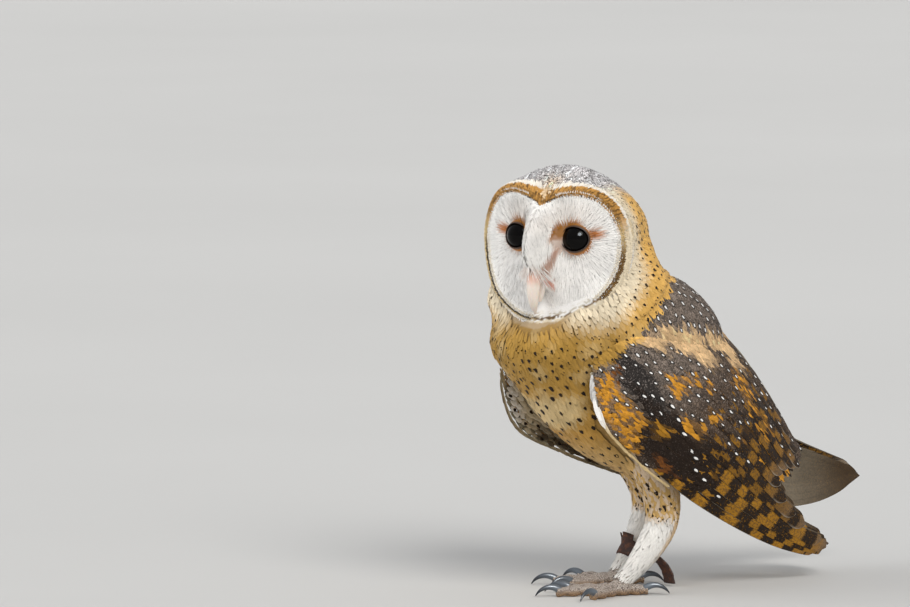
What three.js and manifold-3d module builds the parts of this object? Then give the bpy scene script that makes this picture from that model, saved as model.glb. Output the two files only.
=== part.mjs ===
// A standing barn owl at life size, in millimetres.
// +X is the bird's left, -Y is the way its breast faces, +Z is up.
// The toes' flat pads lie at Z = 0, and the origin is below the middle of the bird.
import * as THREE from "three";
import { mergeVertices } from "three/addons/utils/BufferGeometryUtils.js";
import Module from "manifold-3d";

const wasm = await Module();
wasm.setup();

// ---------- driving dimensions ----------

const GAP = 0.3; // clearance between neighbouring solids

// Head, in its own frame: x to the bird's left, f forward, z up, from the middle of the
// facial disc's side rims at eye level.
const HEAD_AT = [13, -55.5, 246];
const HEAD_YAW = 24; // degrees to the bird's left
const HEAD_PITCH = 0; // degrees, positive looks down
const SKULL_HALF_WIDTH = 57.5;
const CROWN_HEIGHT = 49.5;
const CHIN_DROP = 62;
const NAPE_REACH = 82; // from the side rims back to the nape
const NAPE_SAG = 8; // how far the egg's point lies below the eyes
const RUFF = { brow: 6.5, cheek: 7.5, cheekTurn: 0.7, cheekSpread: 0.17 }; // feather roll round the disc
const EGG_SHARE = 0.19; // the share of the way back at which the outline has become an egg
const NAPE_POWER = 1.08; // of the cosine by which the egg closes: more is more pointed
const NAPE_RUN = 1.25; // of the sine by which it runs back: more starts more slowly
const RIDGE_HALF_WIDTH = 10.5;
const EYE_RADIUS = 10.6;
const EYE_AT = { x: 22.2, f: 5, z: -0.5 };

// Half of the heart-shaped rim, from the notch in the brow round to the chin.
const RIM = [
  { x: 0, z: 22.5, f: 16 },
  { x: 10, z: 27.5, f: 14.5 },
  { x: 25, z: 30.5, f: 11 },
  { x: 40, z: 26.5, f: 6 },
  { x: 50, z: 15, f: 1.5 },
  { x: 54.5, z: -2, f: 0 },
  { x: 52, z: -21, f: 1 },
  { x: 44, z: -36, f: 6 },
  { x: 33, z: -47, f: 10 },
  { x: 18, z: -55.5, f: 15 },
  { x: 0, z: -59.5, f: 19.5 },
];
// The ridge of short feathers down the middle of the face: height z, forward reach f.
const RIDGE = [
  { z: 24, f: 15 },
  { z: 13, f: 27 },
  { z: 1, f: 35 },
  { z: -12, f: 36 },
  { z: -22, f: 29 },
  { z: -32, f: 18 },
  { z: -45, f: 14 },
  { z: -59, f: 18 },
];

// Body: each station joins a point of the breast line to a point of the back line (y, z).
const BODY = [
  { front: [-26, 240], back: [10, 246], half: 44 },
  { front: [-52, 216], back: [16, 223], half: 63 },
  { front: [-78, 188], back: [45, 211], half: 62 },
  { front: [-86, 166], back: [70, 190], half: 60 },
  { front: [-68, 140], back: [85, 163], half: 51 },
  { front: [-45, 113], back: [98, 139], half: 47 },
  { front: [-14, 90], back: [110, 118], half: 42 },
  { front: [24, 74], back: [120, 100], half: 34 },
  { front: [62, 65], back: [127, 84], half: 25 },
  { front: [92, 60], back: [131, 72], half: 15 },
];
const BODY_POWER = 2.3; // 2 is an ellipse, more is boxier
// The throat's loose feathers, which bulge below the right cheek when the head turns left.
const THROAT = { at: [-30, -46, 200], reach: [25, 32, 24] };
const NECK_STATION = 2.35; // where the neck meets the trunk, counted along BODY

// Folded wing in side view (y, z), and how far out its lower edge, middle and upper edge lie.
const LEFT_WING = [
  { low: [-46, 180], high: [-38, 186], out: [46, 50, 48], thick: 4 },
  { low: [-51, 158], high: [-8, 198], out: [50, 60, 50], thick: 7 },
  { low: [-44, 124], high: [34, 194], out: [53, 64, 40], thick: 8 },
  { low: [-12, 93], high: [72, 173], out: [50, 63, 29], thick: 7.5 },
  { low: [28, 67], high: [103, 143], out: [44, 57, 22], thick: 6 },
  { low: [70, 44], high: [128, 107], out: [38, 46, 22], thick: 4.5 },
  { low: [108, 27], high: [147, 72], out: [32, 37, 24], thick: 3.2 },
  { low: [138, 18], high: [161, 44], out: [28, 31, 25], thick: 2.2 },
  { low: [154, 16], high: [164, 26], out: [25, 26, 25], thick: 1.5 },
];
// The right wing hangs forward at its wrist and is lifted at its tip.
const RIGHT_WING = [
  { low: [-44, 178], high: [-36, 184], out: [46, 50, 48], thick: 4 },
  { low: [-56, 152], high: [-8, 196], out: [54, 60, 50], thick: 7 },
  { low: [-44, 111], high: [32, 190], out: [56, 63, 40], thick: 8 },
  { low: [-10, 91], high: [70, 168], out: [53, 62, 29], thick: 7.5 },
  { low: [30, 75], high: [102, 140], out: [49, 57, 22], thick: 6 },
  { low: [80, 58], high: [130, 113], out: [42, 46, 22], thick: 4.5 },
  { low: [134, 44], high: [160, 92], out: [34, 37, 24], thick: 3.2 },
  { low: [183, 44], high: [195, 76], out: [28, 30, 25], thick: 2.2 },
  { low: [221, 59], high: [225, 64], out: [25, 26, 25], thick: 1.5 },
];

// Tail: root to tip in side view (y, z), with its half width and its roof-like camber.
const TAIL = [
  { at: [98, 70], half: 13, camber: 6, thick: 5 },
  { at: [122, 54], half: 18, camber: 6, thick: 3.5 },
  { at: [148, 37], half: 20, camber: 5, thick: 2.4 },
  { at: [162, 27], half: 19, camber: 4, thick: 1.6 },
  { at: [170, 22], half: 13, camber: 3, thick: 1.2 },
];

// Legs: from inside the belly, through the hock, down to the foot.
const LEFT_LEG = {
  side: 1,
  path: [
    [21, 12, 100],
    [22, 21, 80],
    [22, 26, 62],
    [22, 25, 46],
    [22, 16, 31],
    [22, 3, 17],
    [22, -8, 8],
  ],
  footYaw: -24,
};
const RIGHT_LEG = {
  side: -1,
  path: [
    [-20, 26, 100],
    [-21, 37, 80],
    [-21, 43, 64],
    [-21, 43, 49],
    [-20.5, 36, 34],
    [-20, 26, 19],
    [-20, 17, 8],
  ],
  footYaw: -24,
};
const LEG_RADII = [17, 15, 12.6, 11.3, 9.6, 7.4, 5.8];
const HOCK = 3; // the path point where thigh and shank meet
const SHANK_TRIM = 3; // how far above the end of the leg's path the shank stops

// Toes: heading from straight ahead (positive is outward), length, and radius at the root.
const TOES = [
  { name: "hind", heading: 172, length: 19, radius: 4 },
  { name: "inner", heading: -18, length: 37, radius: 4.1 },
  { name: "middle", heading: 4, length: 44, radius: 4.2 },
  { name: "outer", heading: 46, length: 32, radius: 4 },
];
const PAD_RADIUS = 8.5;
const TOE_HEIGHTS = [4.6, 3.6, 3.4, 2.9]; // of the toe's axis over the floor, root to tip
const TOE_TAPER = [1.15, 1, 0.95, 0.88]; // of the toe's radius, root to tip
const CLAW_ARC = 95; // degrees that a claw curls through
const CLAW_LIFT = 36; // degrees that its root points up
const CLAW_ROOT_HEIGHT = 4.4;
const CLAW_LENGTH = 19;
const CLAW_RADIUS = 2.7;
const CLAW_SOCKET = 2; // how deep a claw sits in its toe

// Leather anklet on the right shank, and the short strap that hangs from it.
const ANKLET = {
  along: 4.7, // counted along the leg's path
  height: 14,
  inner: 6.6,
  outer: 8.4,
  flare: 12.5,
  flareThick: 1.6,
  waist: 0.1, // the share of its half height above the middle where it starts to flare
  notches: 5,
  notchWidth: 3,
  notchDepth: 3,
};
const STRAP = { width: 13, thick: 2 };
const STRAP_ROUTE = [
  [-9.5, 29, 20],
  [-5, 31.5, 21],
  [0, 37, 18.5],
  [3.5, 42, 11],
  [4, 44.5, 2],
];

// ---------- materials ----------

const finish = (color, roughness) =>
  new THREE.MeshStandardMaterial({ color, roughness, metalness: 0 });
const GOLDEN_BUFF = finish(0xd9b06a, 0.9);
const DISC_WHITE = finish(0xf1e9e2, 0.9);
const MANTLE_BROWN = finish(0x5b4a3c, 0.9);
const SHANK_WHITE = finish(0xeee6da, 0.9);
const TOE_SKIN = finish(0xcdb8a0, 0.6);
const CLAW_SLATE = finish(0x4d545c, 0.35);
const BILL_IVORY = finish(0xdcc4b4, 0.4);
const EYE_BLACK = finish(0x0b0908, 0.05);
const LEATHER = finish(0x3a2824, 0.6);

// ---------- geometry helpers ----------

const radians = THREE.MathUtils.degToRad;
const mix = THREE.MathUtils.lerp;
const ease = THREE.MathUtils.smoothstep;
const vector = (x, y, z) => new THREE.Vector3(x, y, z);

// A smooth curve through a list of numbers or of short lists; t runs from 0 to 1.
function smooth(values) {
  const points = values.map((v) => vector(...[v].flat(), 0, 0, 0));
  const curve = new THREE.CatmullRomCurve3(points, false, "catmullrom", 0.5);
  return (t) => curve.getPoint(t);
}

// A closed surface through rings of points, with each end closed round its middle.
function skinned(rings) {
  const sides = rings[0].length;
  const positions = [];
  const faces = [];
  const addPoint = (p) => positions.push(p.x, p.y, p.z) / 3 - 1;
  for (const ring of rings) ring.forEach(addPoint);
  for (let r = 0; r < rings.length - 1; r++) {
    for (let i = 0; i < sides; i++) {
      const a = r * sides + i;
      const b = r * sides + ((i + 1) % sides);
      faces.push(a, b, b + sides, a, b + sides, a + sides);
    }
  }
  const close = (r, turned) => {
    const middle = vector(0, 0, 0);
    rings[r].forEach((p) => middle.addScaledVector(p, 1 / sides));
    const hub = addPoint(middle);
    for (let i = 0; i < sides; i++) {
      const a = r * sides + i;
      const b = r * sides + ((i + 1) % sides);
      faces.push(...(turned ? [hub, b, a] : [hub, a, b]));
    }
  };
  close(0, true);
  close(rings.length - 1, false);
  const geometry = new THREE.BufferGeometry();
  geometry.setAttribute("position", new THREE.Float32BufferAttribute(positions, 3));
  geometry.setIndex(faces);
  return solid(geometry);
}

// A closed mesh as a solid with its faces turned outwards.
function solid(geometry) {
  const bare = geometry.clone();
  bare.deleteAttribute("normal");
  bare.deleteAttribute("uv");
  const merged = mergeVertices(bare, 1e-4);
  const vertProperties = merged.attributes.position.array;
  const triVerts = new Uint32Array(merged.index.array);
  const made = new wasm.Manifold(new wasm.Mesh({ numProp: 3, vertProperties, triVerts }));
  if (made.volume() > 0) return made;
  triVerts.reverse();
  return new wasm.Manifold(new wasm.Mesh({ numProp: 3, vertProperties, triVerts }));
}

// The largest single body of a solid, without crumbs that a cut leaves.
function largest(cut) {
  return cut.decompose().reduce((a, b) => (b.volume() > a.volume() ? b : a));
}

function named(name, shape, material) {
  const { vertProperties, triVerts } = largest(shape).getMesh();
  const geometry = new THREE.BufferGeometry();
  geometry.setAttribute("position", new THREE.BufferAttribute(vertProperties, 3));
  geometry.setIndex(new THREE.BufferAttribute(triVerts, 1));
  geometry.computeVertexNormals();
  const mesh = new THREE.Mesh(geometry, material);
  mesh.name = name;
  return mesh;
}

// A big block that fills one side of a plane: everything past `point` along `normal`.
function beyond(point, normal) {
  const reach = 600;
  const block = new THREE.BoxGeometry(reach, reach, reach);
  block.translate(0, 0, reach / 2);
  const turn = new THREE.Quaternion().setFromUnitVectors(vector(0, 0, 1), normal);
  block.applyQuaternion(turn);
  block.translate(point.x, point.y, point.z);
  return solid(block);
}

// Two pieces of one solid, parted by a thin cut across `normal` at `point`.
function parted(shape, point, normal) {
  const half = normal.clone().multiplyScalar(GAP / 2);
  const before = shape.subtract(beyond(point.clone().sub(half), normal));
  const flipped = normal.clone().negate();
  const after = shape.subtract(beyond(point.clone().add(half), flipped));
  return [before, after];
}

const roundPower = (value, power) => Math.sign(value) * Math.abs(value) ** (2 / power);

// A limb along a path of points: round sections of the given radii.
function limb(path, radii, steps, sides, grow = 0) {
  const line = smooth(path);
  const radius = smooth(radii);
  const rings = [];
  for (let s = 0; s <= steps; s++) {
    const t = s / steps;
    const forward = line(Math.min(1, t + 0.01)).sub(line(Math.max(0, t - 0.01))).normalize();
    const across = vector(1, 0, 0).addScaledVector(forward, -forward.x).normalize();
    const up = forward.clone().cross(across);
    const centre = line(t);
    const size = radius(t).x + grow;
    rings.push(
      Array.from({ length: sides }, (_, i) => {
        const a = (2 * Math.PI * i) / sides;
        return centre
          .clone()
          .addScaledVector(across, size * Math.cos(a))
          .addScaledVector(up, size * Math.sin(a));
      }),
    );
  }
  return skinned(rings);
}

// A curved plate: `place(s, t)` is its outer face, and it is `thick(s)` deep inwards.
function plate(place, thick, along, across, inward) {
  const d = 0.01;
  const normal = (s, t) => {
    const ds = place(Math.min(1, s + d), t).sub(place(Math.max(0, s - d), t));
    const dt = place(s, Math.min(1, t + d)).sub(place(s, Math.max(0, t - d)));
    return ds.cross(dt).normalize().multiplyScalar(inward);
  };
  const rings = [];
  for (let i = 0; i <= along; i++) {
    const s = i / along;
    const outer = [];
    const inner = [];
    for (let j = 0; j <= across; j++) {
      const t = j / across;
      const p = place(s, t);
      const edge = Math.min(1, 0.35 + 2.6 * Math.min(t, 1 - t));
      outer.push(p);
      inner.push(p.clone().addScaledVector(normal(s, t), thick(s) * edge));
    }
    rings.push([...outer, ...inner.reverse()]);
  }
  return skinned(rings);
}

// ---------- head ----------

// From the head's own frame (x left, f forward, z up) to the bird's.
function headPlace(x, f, z) {
  const local = vector(x, -f, z);
  local.applyAxisAngle(vector(1, 0, 0), radians(HEAD_PITCH));
  local.applyAxisAngle(vector(0, 0, 1), radians(HEAD_YAW));
  return local.add(vector(...HEAD_AT));
}

// The heart's rim at a turn a of 0 to 2 pi from the brow's notch, over the bird's left side.
const rimHalf = smooth(RIM.map((p) => [p.x, p.f, p.z]));
function rimAt(a) {
  const turn = a / Math.PI;
  const p = rimHalf(turn <= 1 ? turn : 2 - turn);
  return turn <= 1 ? p : vector(-p.x, p.y, p.z);
}

// How far the roll of feathers stands out from the rim.
function ruffAt(a) {
  const turn = a <= Math.PI ? a / Math.PI : 2 - a / Math.PI;
  const cheek = Math.exp(-(((turn - RUFF.cheekTurn) / RUFF.cheekSpread) ** 2));
  return mix(RUFF.brow, RUFF.cheek, cheek);
}

// How far forward the ridge of the face stands at height z.
const ridgeLine = smooth(RIDGE.map((p) => [p.z, p.f]));
function ridgeAt(z) {
  let low = 0;
  let high = 1;
  for (let i = 0; i < 20; i++) {
    const middle = (low + high) / 2;
    if (ridgeLine(middle).x > z) low = middle;
    else high = middle;
  }
  return ridgeLine(low).y;
}

// The disc's surface at a share q of the way from its middle to the rim.
const DISC_MIDDLE = -12;
const BOWL_RISE = 11;
function discPoint(a, q) {
  const rim = rimAt(a);
  const x = rim.x * q;
  const z = mix(DISC_MIDDLE, rim.z, q);
  const bowl = rim.y * q ** 1.5 + BOWL_RISE * (1 - q ** 2);
  const proud = ridgeAt(z) - bowl;
  const spread = RIDGE_HALF_WIDTH * (1 + 0.5 * ease(-z, 10, 45));
  return { x, z, f: bowl + proud * Math.exp(-((x / spread) ** 2)) };
}

function headShape(grow) {
  const turns = 40;
  const bowlShares = [0.08, 0.18, 0.3, 0.43, 0.58, 0.74, 0.89];
  const angles = Array.from({ length: turns }, (_, i) => (2 * Math.PI * i) / turns);
  const rings = [];
  for (const q of bowlShares) {
    rings.push(
      angles.map((a) => {
        const p = discPoint(a, q);
        return headPlace(p.x, p.f, p.z);
      }),
    );
  }
  rings.push(angles.map((a) => headPlace(rimAt(a).x, rimAt(a).y, rimAt(a).z)));
  // Behind the rim the outline turns from a heart to an egg, and closes at the nape.
  const backSteps = 9;
  for (let k = 1; k <= backSteps; k++) {
    const share = k / (backSteps + 0.35);
    const bend = (share * Math.PI) / 2;
    const shrink = Math.cos(bend) ** NAPE_POWER;
    const egg = ease(share, 0, EGG_SHARE);
    rings.push(
      angles.map((a) => {
        const rim = rimAt(a);
        const swell = 1 + (ruffAt(a) + grow) / Math.hypot(rim.x, rim.z);
        const heart = { x: rim.x * swell, z: rim.z * swell };
        const turn = Math.atan2(heart.x, heart.z);
        const height = heart.z > 0 ? CROWN_HEIGHT : CHIN_DROP;
        const eggX = Math.sin(turn) * (SKULL_HALF_WIDTH + grow);
        const eggZ = Math.cos(turn) * (height + grow);
        const sag = -NAPE_SAG * share ** 2;
        const x = mix(heart.x, eggX, egg) * shrink;
        const z = mix(heart.z, eggZ, egg) * shrink + sag;
        const f = mix(rim.y, 0, egg) * (1 - share) - (NAPE_REACH + grow) * Math.sin(bend) ** NAPE_RUN;
        return headPlace(x, f, z);
      }),
    );
  }
  return skinned(rings);
}

function eyeBall(side, grow) {
  const ball = new THREE.SphereGeometry(EYE_RADIUS + grow, 13, 8);
  ball.rotateX(Math.PI / 2);
  const at = headPlace(side * EYE_AT.x, EYE_AT.f, EYE_AT.z);
  ball.translate(at.x, at.y, at.z);
  return solid(ball);
}

// The bill: a hooked horn that hangs from the ridge, and a short lower half behind it.
function billPart(route, widths, depths, grow) {
  const line = smooth(route);
  const width = smooth(widths);
  const depth = smooth(depths);
  const steps = 8;
  const sides = 12;
  const rings = [];
  for (let s = 0; s <= steps; s++) {
    const t = s / steps;
    const p = line(t);
    rings.push(
      Array.from({ length: sides }, (_, i) => {
        const a = (2 * Math.PI * i) / sides;
        const x = Math.cos(a) * (width(t).x + grow);
        const f = p.x + Math.sin(a) * (depth(t).x + grow);
        const end = t === 0 ? grow : t === 1 ? -grow : 0;
        return headPlace(x, f, p.y + end);
      }),
    );
  }
  return skinned(rings);
}
const upperBill = (grow) =>
  billPart([[21, -19], [24.5, -28], [25.5, -38], [24.8, -45], [23, -51]],
    [4.8, 4.8, 4.1, 2.8, 0.8], [5.8, 5.6, 4.4, 2.8, 0.8], grow);
const lowerBill = (grow) =>
  billPart([[16, -28], [17.5, -34], [18.5, -39], [18.6, -43]],
    [4, 3.8, 3.2, 1.7], [2.8, 2.6, 2.2, 1.2], grow);

// ---------- body, wings and tail ----------

const bodyFront = smooth(BODY.map((s) => s.front));
const bodyBack = smooth(BODY.map((s) => s.back));
const bodyHalf = smooth(BODY.map((s) => s.half));

function bodyShape(grow) {
  const steps = 18;
  const sides = 24;
  const rings = [];
  for (let s = 0; s <= steps; s++) {
    const t = s / steps;
    const front = bodyFront(t);
    const back = bodyBack(t);
    const depth = vector(0, back.x - front.x, back.y - front.y);
    const half = depth.length() / 2 + grow;
    const centre = vector(0, (front.x + back.x) / 2, (front.y + back.y) / 2);
    depth.normalize();
    rings.push(
      Array.from({ length: sides }, (_, i) => {
        const a = (2 * Math.PI * i) / sides;
        return centre
          .clone()
          .addScaledVector(vector(1, 0, 0), roundPower(Math.cos(a), BODY_POWER) * (bodyHalf(t).x + grow))
          .addScaledVector(depth, roundPower(Math.sin(a), BODY_POWER) * half);
      }),
    );
  }
  return skinned(rings).add(throatSwell(grow));
}

function throatSwell(grow) {
  const ball = new THREE.SphereGeometry(1, 10, 7);
  const [x, y, z] = THROAT.reach.map((r) => r + grow);
  ball.scale(x, y, z);
  ball.translate(...THROAT.at);
  return solid(ball);
}

function wing(side, stations) {
  const low = smooth(stations.map((w) => w.low));
  const high = smooth(stations.map((w) => w.high));
  const out = smooth(stations.map((w) => w.out));
  const thick = smooth(stations.map((w) => w.thick));
  const place = (s, t) => {
    const o = out(s);
    const x = o.x * (1 - t) * (1 - 2 * t) + o.y * 4 * t * (1 - t) + o.z * t * (2 * t - 1);
    const edge = low(s).lerp(high(s), t);
    return vector(side * x, edge.x, edge.y);
  };
  return plate(place, (s) => thick(s).x, 14, 7, side);
}

function tail() {
  const line = smooth(TAIL.map((p) => p.at));
  const half = smooth(TAIL.map((p) => p.half));
  const camber = smooth(TAIL.map((p) => p.camber));
  const thick = smooth(TAIL.map((p) => p.thick));
  const place = (s, t) => {
    const across = 2 * t - 1;
    const p = line(s);
    return vector(across * half(s).x, p.x, p.y - camber(s).x * across ** 2);
  };
  return plate(place, (s) => thick(s).x, 8, 6, -1);
}

// ---------- legs and feet ----------

const legShape = (leg, grow) => limb(leg.path, LEG_RADII, 9, 11, grow);

// The thigh above and the shank below the hock, parted by a cut across the leg.
function thighAndShank(leg) {
  const hock = vector(...leg.path[HOCK]);
  const below = vector(...leg.path[HOCK + 1]);
  const down = below.clone().sub(vector(...leg.path[HOCK - 1])).normalize();
  return parted(legShape(leg, 0), hock, down);
}

// Where a toe runs: from the pad's middle outwards, over the floor.
function toeLine(leg, toe) {
  const [x, y] = leg.path[leg.path.length - 1];
  const heading = radians(leg.footYaw + leg.side * toe.heading);
  return { start: vector(x, y, 0), ahead: vector(Math.sin(heading), -Math.cos(heading), 0) };
}

function footShape(leg) {
  const [x, y, z] = leg.path[leg.path.length - 1];
  const pad = new THREE.SphereGeometry(PAD_RADIUS, 10, 7);
  pad.scale(1, 1, 0.72);
  pad.translate(x, y, z * 0.55);
  let shape = solid(pad);
  for (const toe of TOES) {
    const { start, ahead } = toeLine(leg, toe);
    const path = TOE_HEIGHTS.map((height, i) => {
      const share = i / (TOE_HEIGHTS.length - 1);
      return start.clone().addScaledVector(ahead, share * toe.length).setZ(height).toArray();
    });
    shape = shape.add(limb(path, TOE_TAPER.map((k) => k * toe.radius), 3, 8));
  }
  shape = shape.subtract(beyond(vector(0, 0, 0), vector(0, 0, -1)));
  for (const toe of TOES) shape = shape.subtract(claw(leg, toe, GAP));
  return shape.subtract(legShape(leg, GAP));
}

// A claw: a horn bent along an arc, down from a socket in the end of its toe.
function claw(leg, toe, grow) {
  const { start, ahead } = toeLine(leg, toe);
  const arc = radians(CLAW_ARC);
  const bend = CLAW_LENGTH / arc;
  const lift = radians(CLAW_LIFT);
  const root = start.clone().addScaledVector(ahead, toe.length - CLAW_SOCKET - grow);
  const path = [];
  const steps = 6;
  for (let i = 0; i <= steps; i++) {
    const a = (arc * i) / steps;
    const along = bend * (Math.sin(a - lift) + Math.sin(lift));
    const up = bend * (Math.cos(a - lift) - Math.cos(lift));
    path.push(root.clone().addScaledVector(ahead, along).setZ(CLAW_ROOT_HEIGHT + up).toArray());
  }
  return limb(path, [1, 0.92, 0.8, 0.66, 0.5, 0.32, 0.12].map((k) => k * CLAW_RADIUS), 6, 6, grow);
}

// ---------- worn leather ----------

function anklet(leg, grow) {
  const line = smooth(leg.path);
  const at = ANKLET.along / (leg.path.length - 1);
  const axis = line(at - 0.02).sub(line(at + 0.02)).normalize();
  const half = ANKLET.height / 2 + grow;
  const profile = [
    [ANKLET.inner - grow, -half],
    [ANKLET.outer + grow, -half],
    [ANKLET.outer + grow, half * ANKLET.waist],
    [ANKLET.flare + grow, half],
    [ANKLET.flare - ANKLET.flareThick - grow, half],
    [ANKLET.inner - grow, half * ANKLET.waist],
    [ANKLET.inner - grow, -half],
  ].map(([r, h]) => new THREE.Vector2(r, h));
  const band = solid(new THREE.LatheGeometry(profile, 18));
  const turn = new THREE.Quaternion().setFromUnitVectors(vector(0, 1, 0), axis);
  const place = new THREE.Matrix4().compose(line(at), turn, vector(1, 1, 1));
  let shape = band;
  for (let i = 0; i < ANKLET.notches; i++) {
    const notch = new THREE.BoxGeometry(ANKLET.flare, ANKLET.notchDepth * 2, ANKLET.notchWidth);
    notch.translate(ANKLET.flare, half, 0);
    notch.rotateY((2 * Math.PI * i) / ANKLET.notches);
    if (grow === 0) shape = shape.subtract(solid(notch));
  }
  return shape.transform(place.toArray());
}

function strap() {
  const section = new THREE.Shape();
  section.moveTo(-STRAP.thick / 2, -STRAP.width / 2);
  section.lineTo(STRAP.thick / 2, -STRAP.width / 2);
  section.lineTo(STRAP.thick / 2, STRAP.width / 2);
  section.lineTo(-STRAP.thick / 2, STRAP.width / 2);
  section.closePath();
  const route = new THREE.CatmullRomCurve3(STRAP_ROUTE.map((p) => vector(...p)));
  return solid(new THREE.ExtrudeGeometry(section, { steps: 14, extrudePath: route }));
}

// ---------- the bird ----------

const owl = new THREE.Group();
const sides = { left: 1, right: -1 };

const body = bodyShape(0);
const bodyRoom = bodyShape(GAP);
const headRoom = headShape(GAP);

let head = headShape(0).subtract(upperBill(GAP)).subtract(lowerBill(GAP));
for (const [label, side] of Object.entries(sides)) {
  head = head.subtract(eyeBall(side, GAP));
  owl.add(named(`eye_${label}`, eyeBall(side, 0), EYE_BLACK));
}
owl.add(named("head", head, DISC_WHITE));
owl.add(named("bill_upper", upperBill(0), BILL_IVORY));
owl.add(named("bill_lower", lowerBill(0).subtract(upperBill(GAP)), BILL_IVORY));

const cutShare = NECK_STATION / (BODY.length - 1);
const cutFront = bodyFront(cutShare);
const cutBack = bodyBack(cutShare);
const cutPoint = vector(0, (cutFront.x + cutBack.x) / 2, (cutFront.y + cutBack.y) / 2);
const cutNormal = vector(0, cutBack.y - cutFront.y, cutFront.x - cutBack.x).normalize();
const [neck, trunk] = parted(body, cutPoint, cutNormal);
owl.add(named("neck", neck.subtract(headRoom), GOLDEN_BUFF));

const tailShape = tail().subtract(bodyRoom);
owl.add(named("tail", tailShape, MANTLE_BROWN));
owl.add(named("trunk", trunk.subtract(headRoom), GOLDEN_BUFF));

for (const [label, side] of Object.entries(sides)) {
  const stations = side > 0 ? LEFT_WING : RIGHT_WING;
  const shape = wing(side, stations).subtract(bodyRoom).subtract(headRoom);
  owl.add(named(`wing_${label}`, shape, MANTLE_BROWN));
}

for (const [label, leg] of Object.entries({ left: LEFT_LEG, right: RIGHT_LEG })) {
  let [thigh, shank] = thighAndShank(leg);
  thigh = thigh.subtract(bodyRoom);
  const ankle = vector(...leg.path[leg.path.length - 1]);
  const down = ankle.clone().sub(vector(...leg.path[leg.path.length - 2])).normalize();
  shank = shank.subtract(beyond(ankle.clone().addScaledVector(down, -SHANK_TRIM), down));
  if (leg === RIGHT_LEG) shank = shank.subtract(anklet(leg, GAP));
  owl.add(named(`thigh_${label}`, thigh, GOLDEN_BUFF));
  owl.add(named(`shank_${label}`, shank, SHANK_WHITE));
  owl.add(named(`foot_${label}`, footShape(leg), TOE_SKIN));
  for (const toe of TOES) {
    owl.add(named(`claw_${label}_${toe.name}`, claw(leg, toe, 0), CLAW_SLATE));
  }
}
owl.add(named("anklet_right", anklet(RIGHT_LEG, 0), LEATHER));
owl.add(named("strap_right", strap(), LEATHER));

// The origin lies on the floor, below the middle of the bird's outline.
const model = new THREE.Group();
model.add(owl);
const outline = new THREE.Box3().setFromObject(owl);
const middle = outline.getCenter(vector(0, 0, 0));
owl.position.set(-middle.x, -middle.y, -outline.min.z);

export default model;
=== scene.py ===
"""A museum-style barn owl: skin, plumage, eyes, bill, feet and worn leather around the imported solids."""
import math

import bpy
import numpy as np
from mathutils import Matrix, Vector
from mathutils.bvhtree import BVHTree
from mathutils.kdtree import KDTree


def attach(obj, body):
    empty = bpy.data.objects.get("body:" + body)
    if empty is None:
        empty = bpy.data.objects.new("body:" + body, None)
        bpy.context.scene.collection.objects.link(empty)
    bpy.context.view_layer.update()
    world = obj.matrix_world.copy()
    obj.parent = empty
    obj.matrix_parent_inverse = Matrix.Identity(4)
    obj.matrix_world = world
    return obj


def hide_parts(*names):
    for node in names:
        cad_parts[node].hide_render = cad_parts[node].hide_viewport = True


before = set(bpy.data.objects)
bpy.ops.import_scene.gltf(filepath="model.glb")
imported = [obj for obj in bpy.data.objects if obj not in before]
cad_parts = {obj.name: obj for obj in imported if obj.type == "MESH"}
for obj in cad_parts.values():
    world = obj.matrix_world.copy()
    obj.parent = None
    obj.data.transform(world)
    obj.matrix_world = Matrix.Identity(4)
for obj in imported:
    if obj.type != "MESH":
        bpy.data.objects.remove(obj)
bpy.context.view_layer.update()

SIDES = ((1, "left"), (-1, "right"))

# All shapes below are in millimetres in the owl's own coordinates, those of the solids before
# they were centred: +X is the bird's left, -Y is the way its breast faces, +Z is up.
TO_FRAME = np.array([-0.43, -68.04, 0.0])  # from the owl's own coordinates to the row frame
MM = 0.001


def in_frame(points):
    """Points of the owl's own coordinates, in the row frame's metres."""
    return (np.asarray(points, float) + TO_FRAME) * MM


# ---------- camera, floor and light ----------

IMAGE_WIDTH, IMAGE_HEIGHT = 910, 607
MM_PER_PIXEL = 0.68
CAMERA_DISTANCE = 5000.0
CAMERA_AZIMUTH, CAMERA_ELEVATION = math.radians(58), math.radians(6)
ORIGIN_PIXEL = (612, 590)  # where the owl's own origin appears
SENSOR = 36.0


def aim(thing, at):
    """Turns a camera or light so that it looks at a point of the row frame."""
    away = Vector(at) - thing.location
    thing.rotation_euler = away.to_track_quat("-Z", "Y").to_euler()


def add_camera():
    """A far camera with a long lens, which sees the owl as the photo does."""
    a, e = CAMERA_AZIMUTH, CAMERA_ELEVATION
    right = np.array([math.cos(a), math.sin(a), 0])
    ahead = np.array([-math.sin(a) * math.cos(e), math.cos(a) * math.cos(e), -math.sin(e)])
    up = np.cross(right, ahead)
    across = (IMAGE_WIDTH / 2 - ORIGIN_PIXEL[0]) * MM_PER_PIXEL
    down = (IMAGE_HEIGHT / 2 - ORIGIN_PIXEL[1]) * MM_PER_PIXEL
    target = right * across - up * down
    data = bpy.data.cameras.new("camera")
    data.sensor_width = SENSOR
    data.lens = CAMERA_DISTANCE / MM_PER_PIXEL / IMAGE_WIDTH * SENSOR
    data.clip_start, data.clip_end = 0.1, 100
    camera = bpy.data.objects.new("camera", data)
    bpy.context.scene.collection.objects.link(camera)
    camera.location = Vector(in_frame(target - ahead * CAMERA_DISTANCE))
    aim(camera, in_frame(target))
    bpy.context.scene.camera = camera


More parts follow.
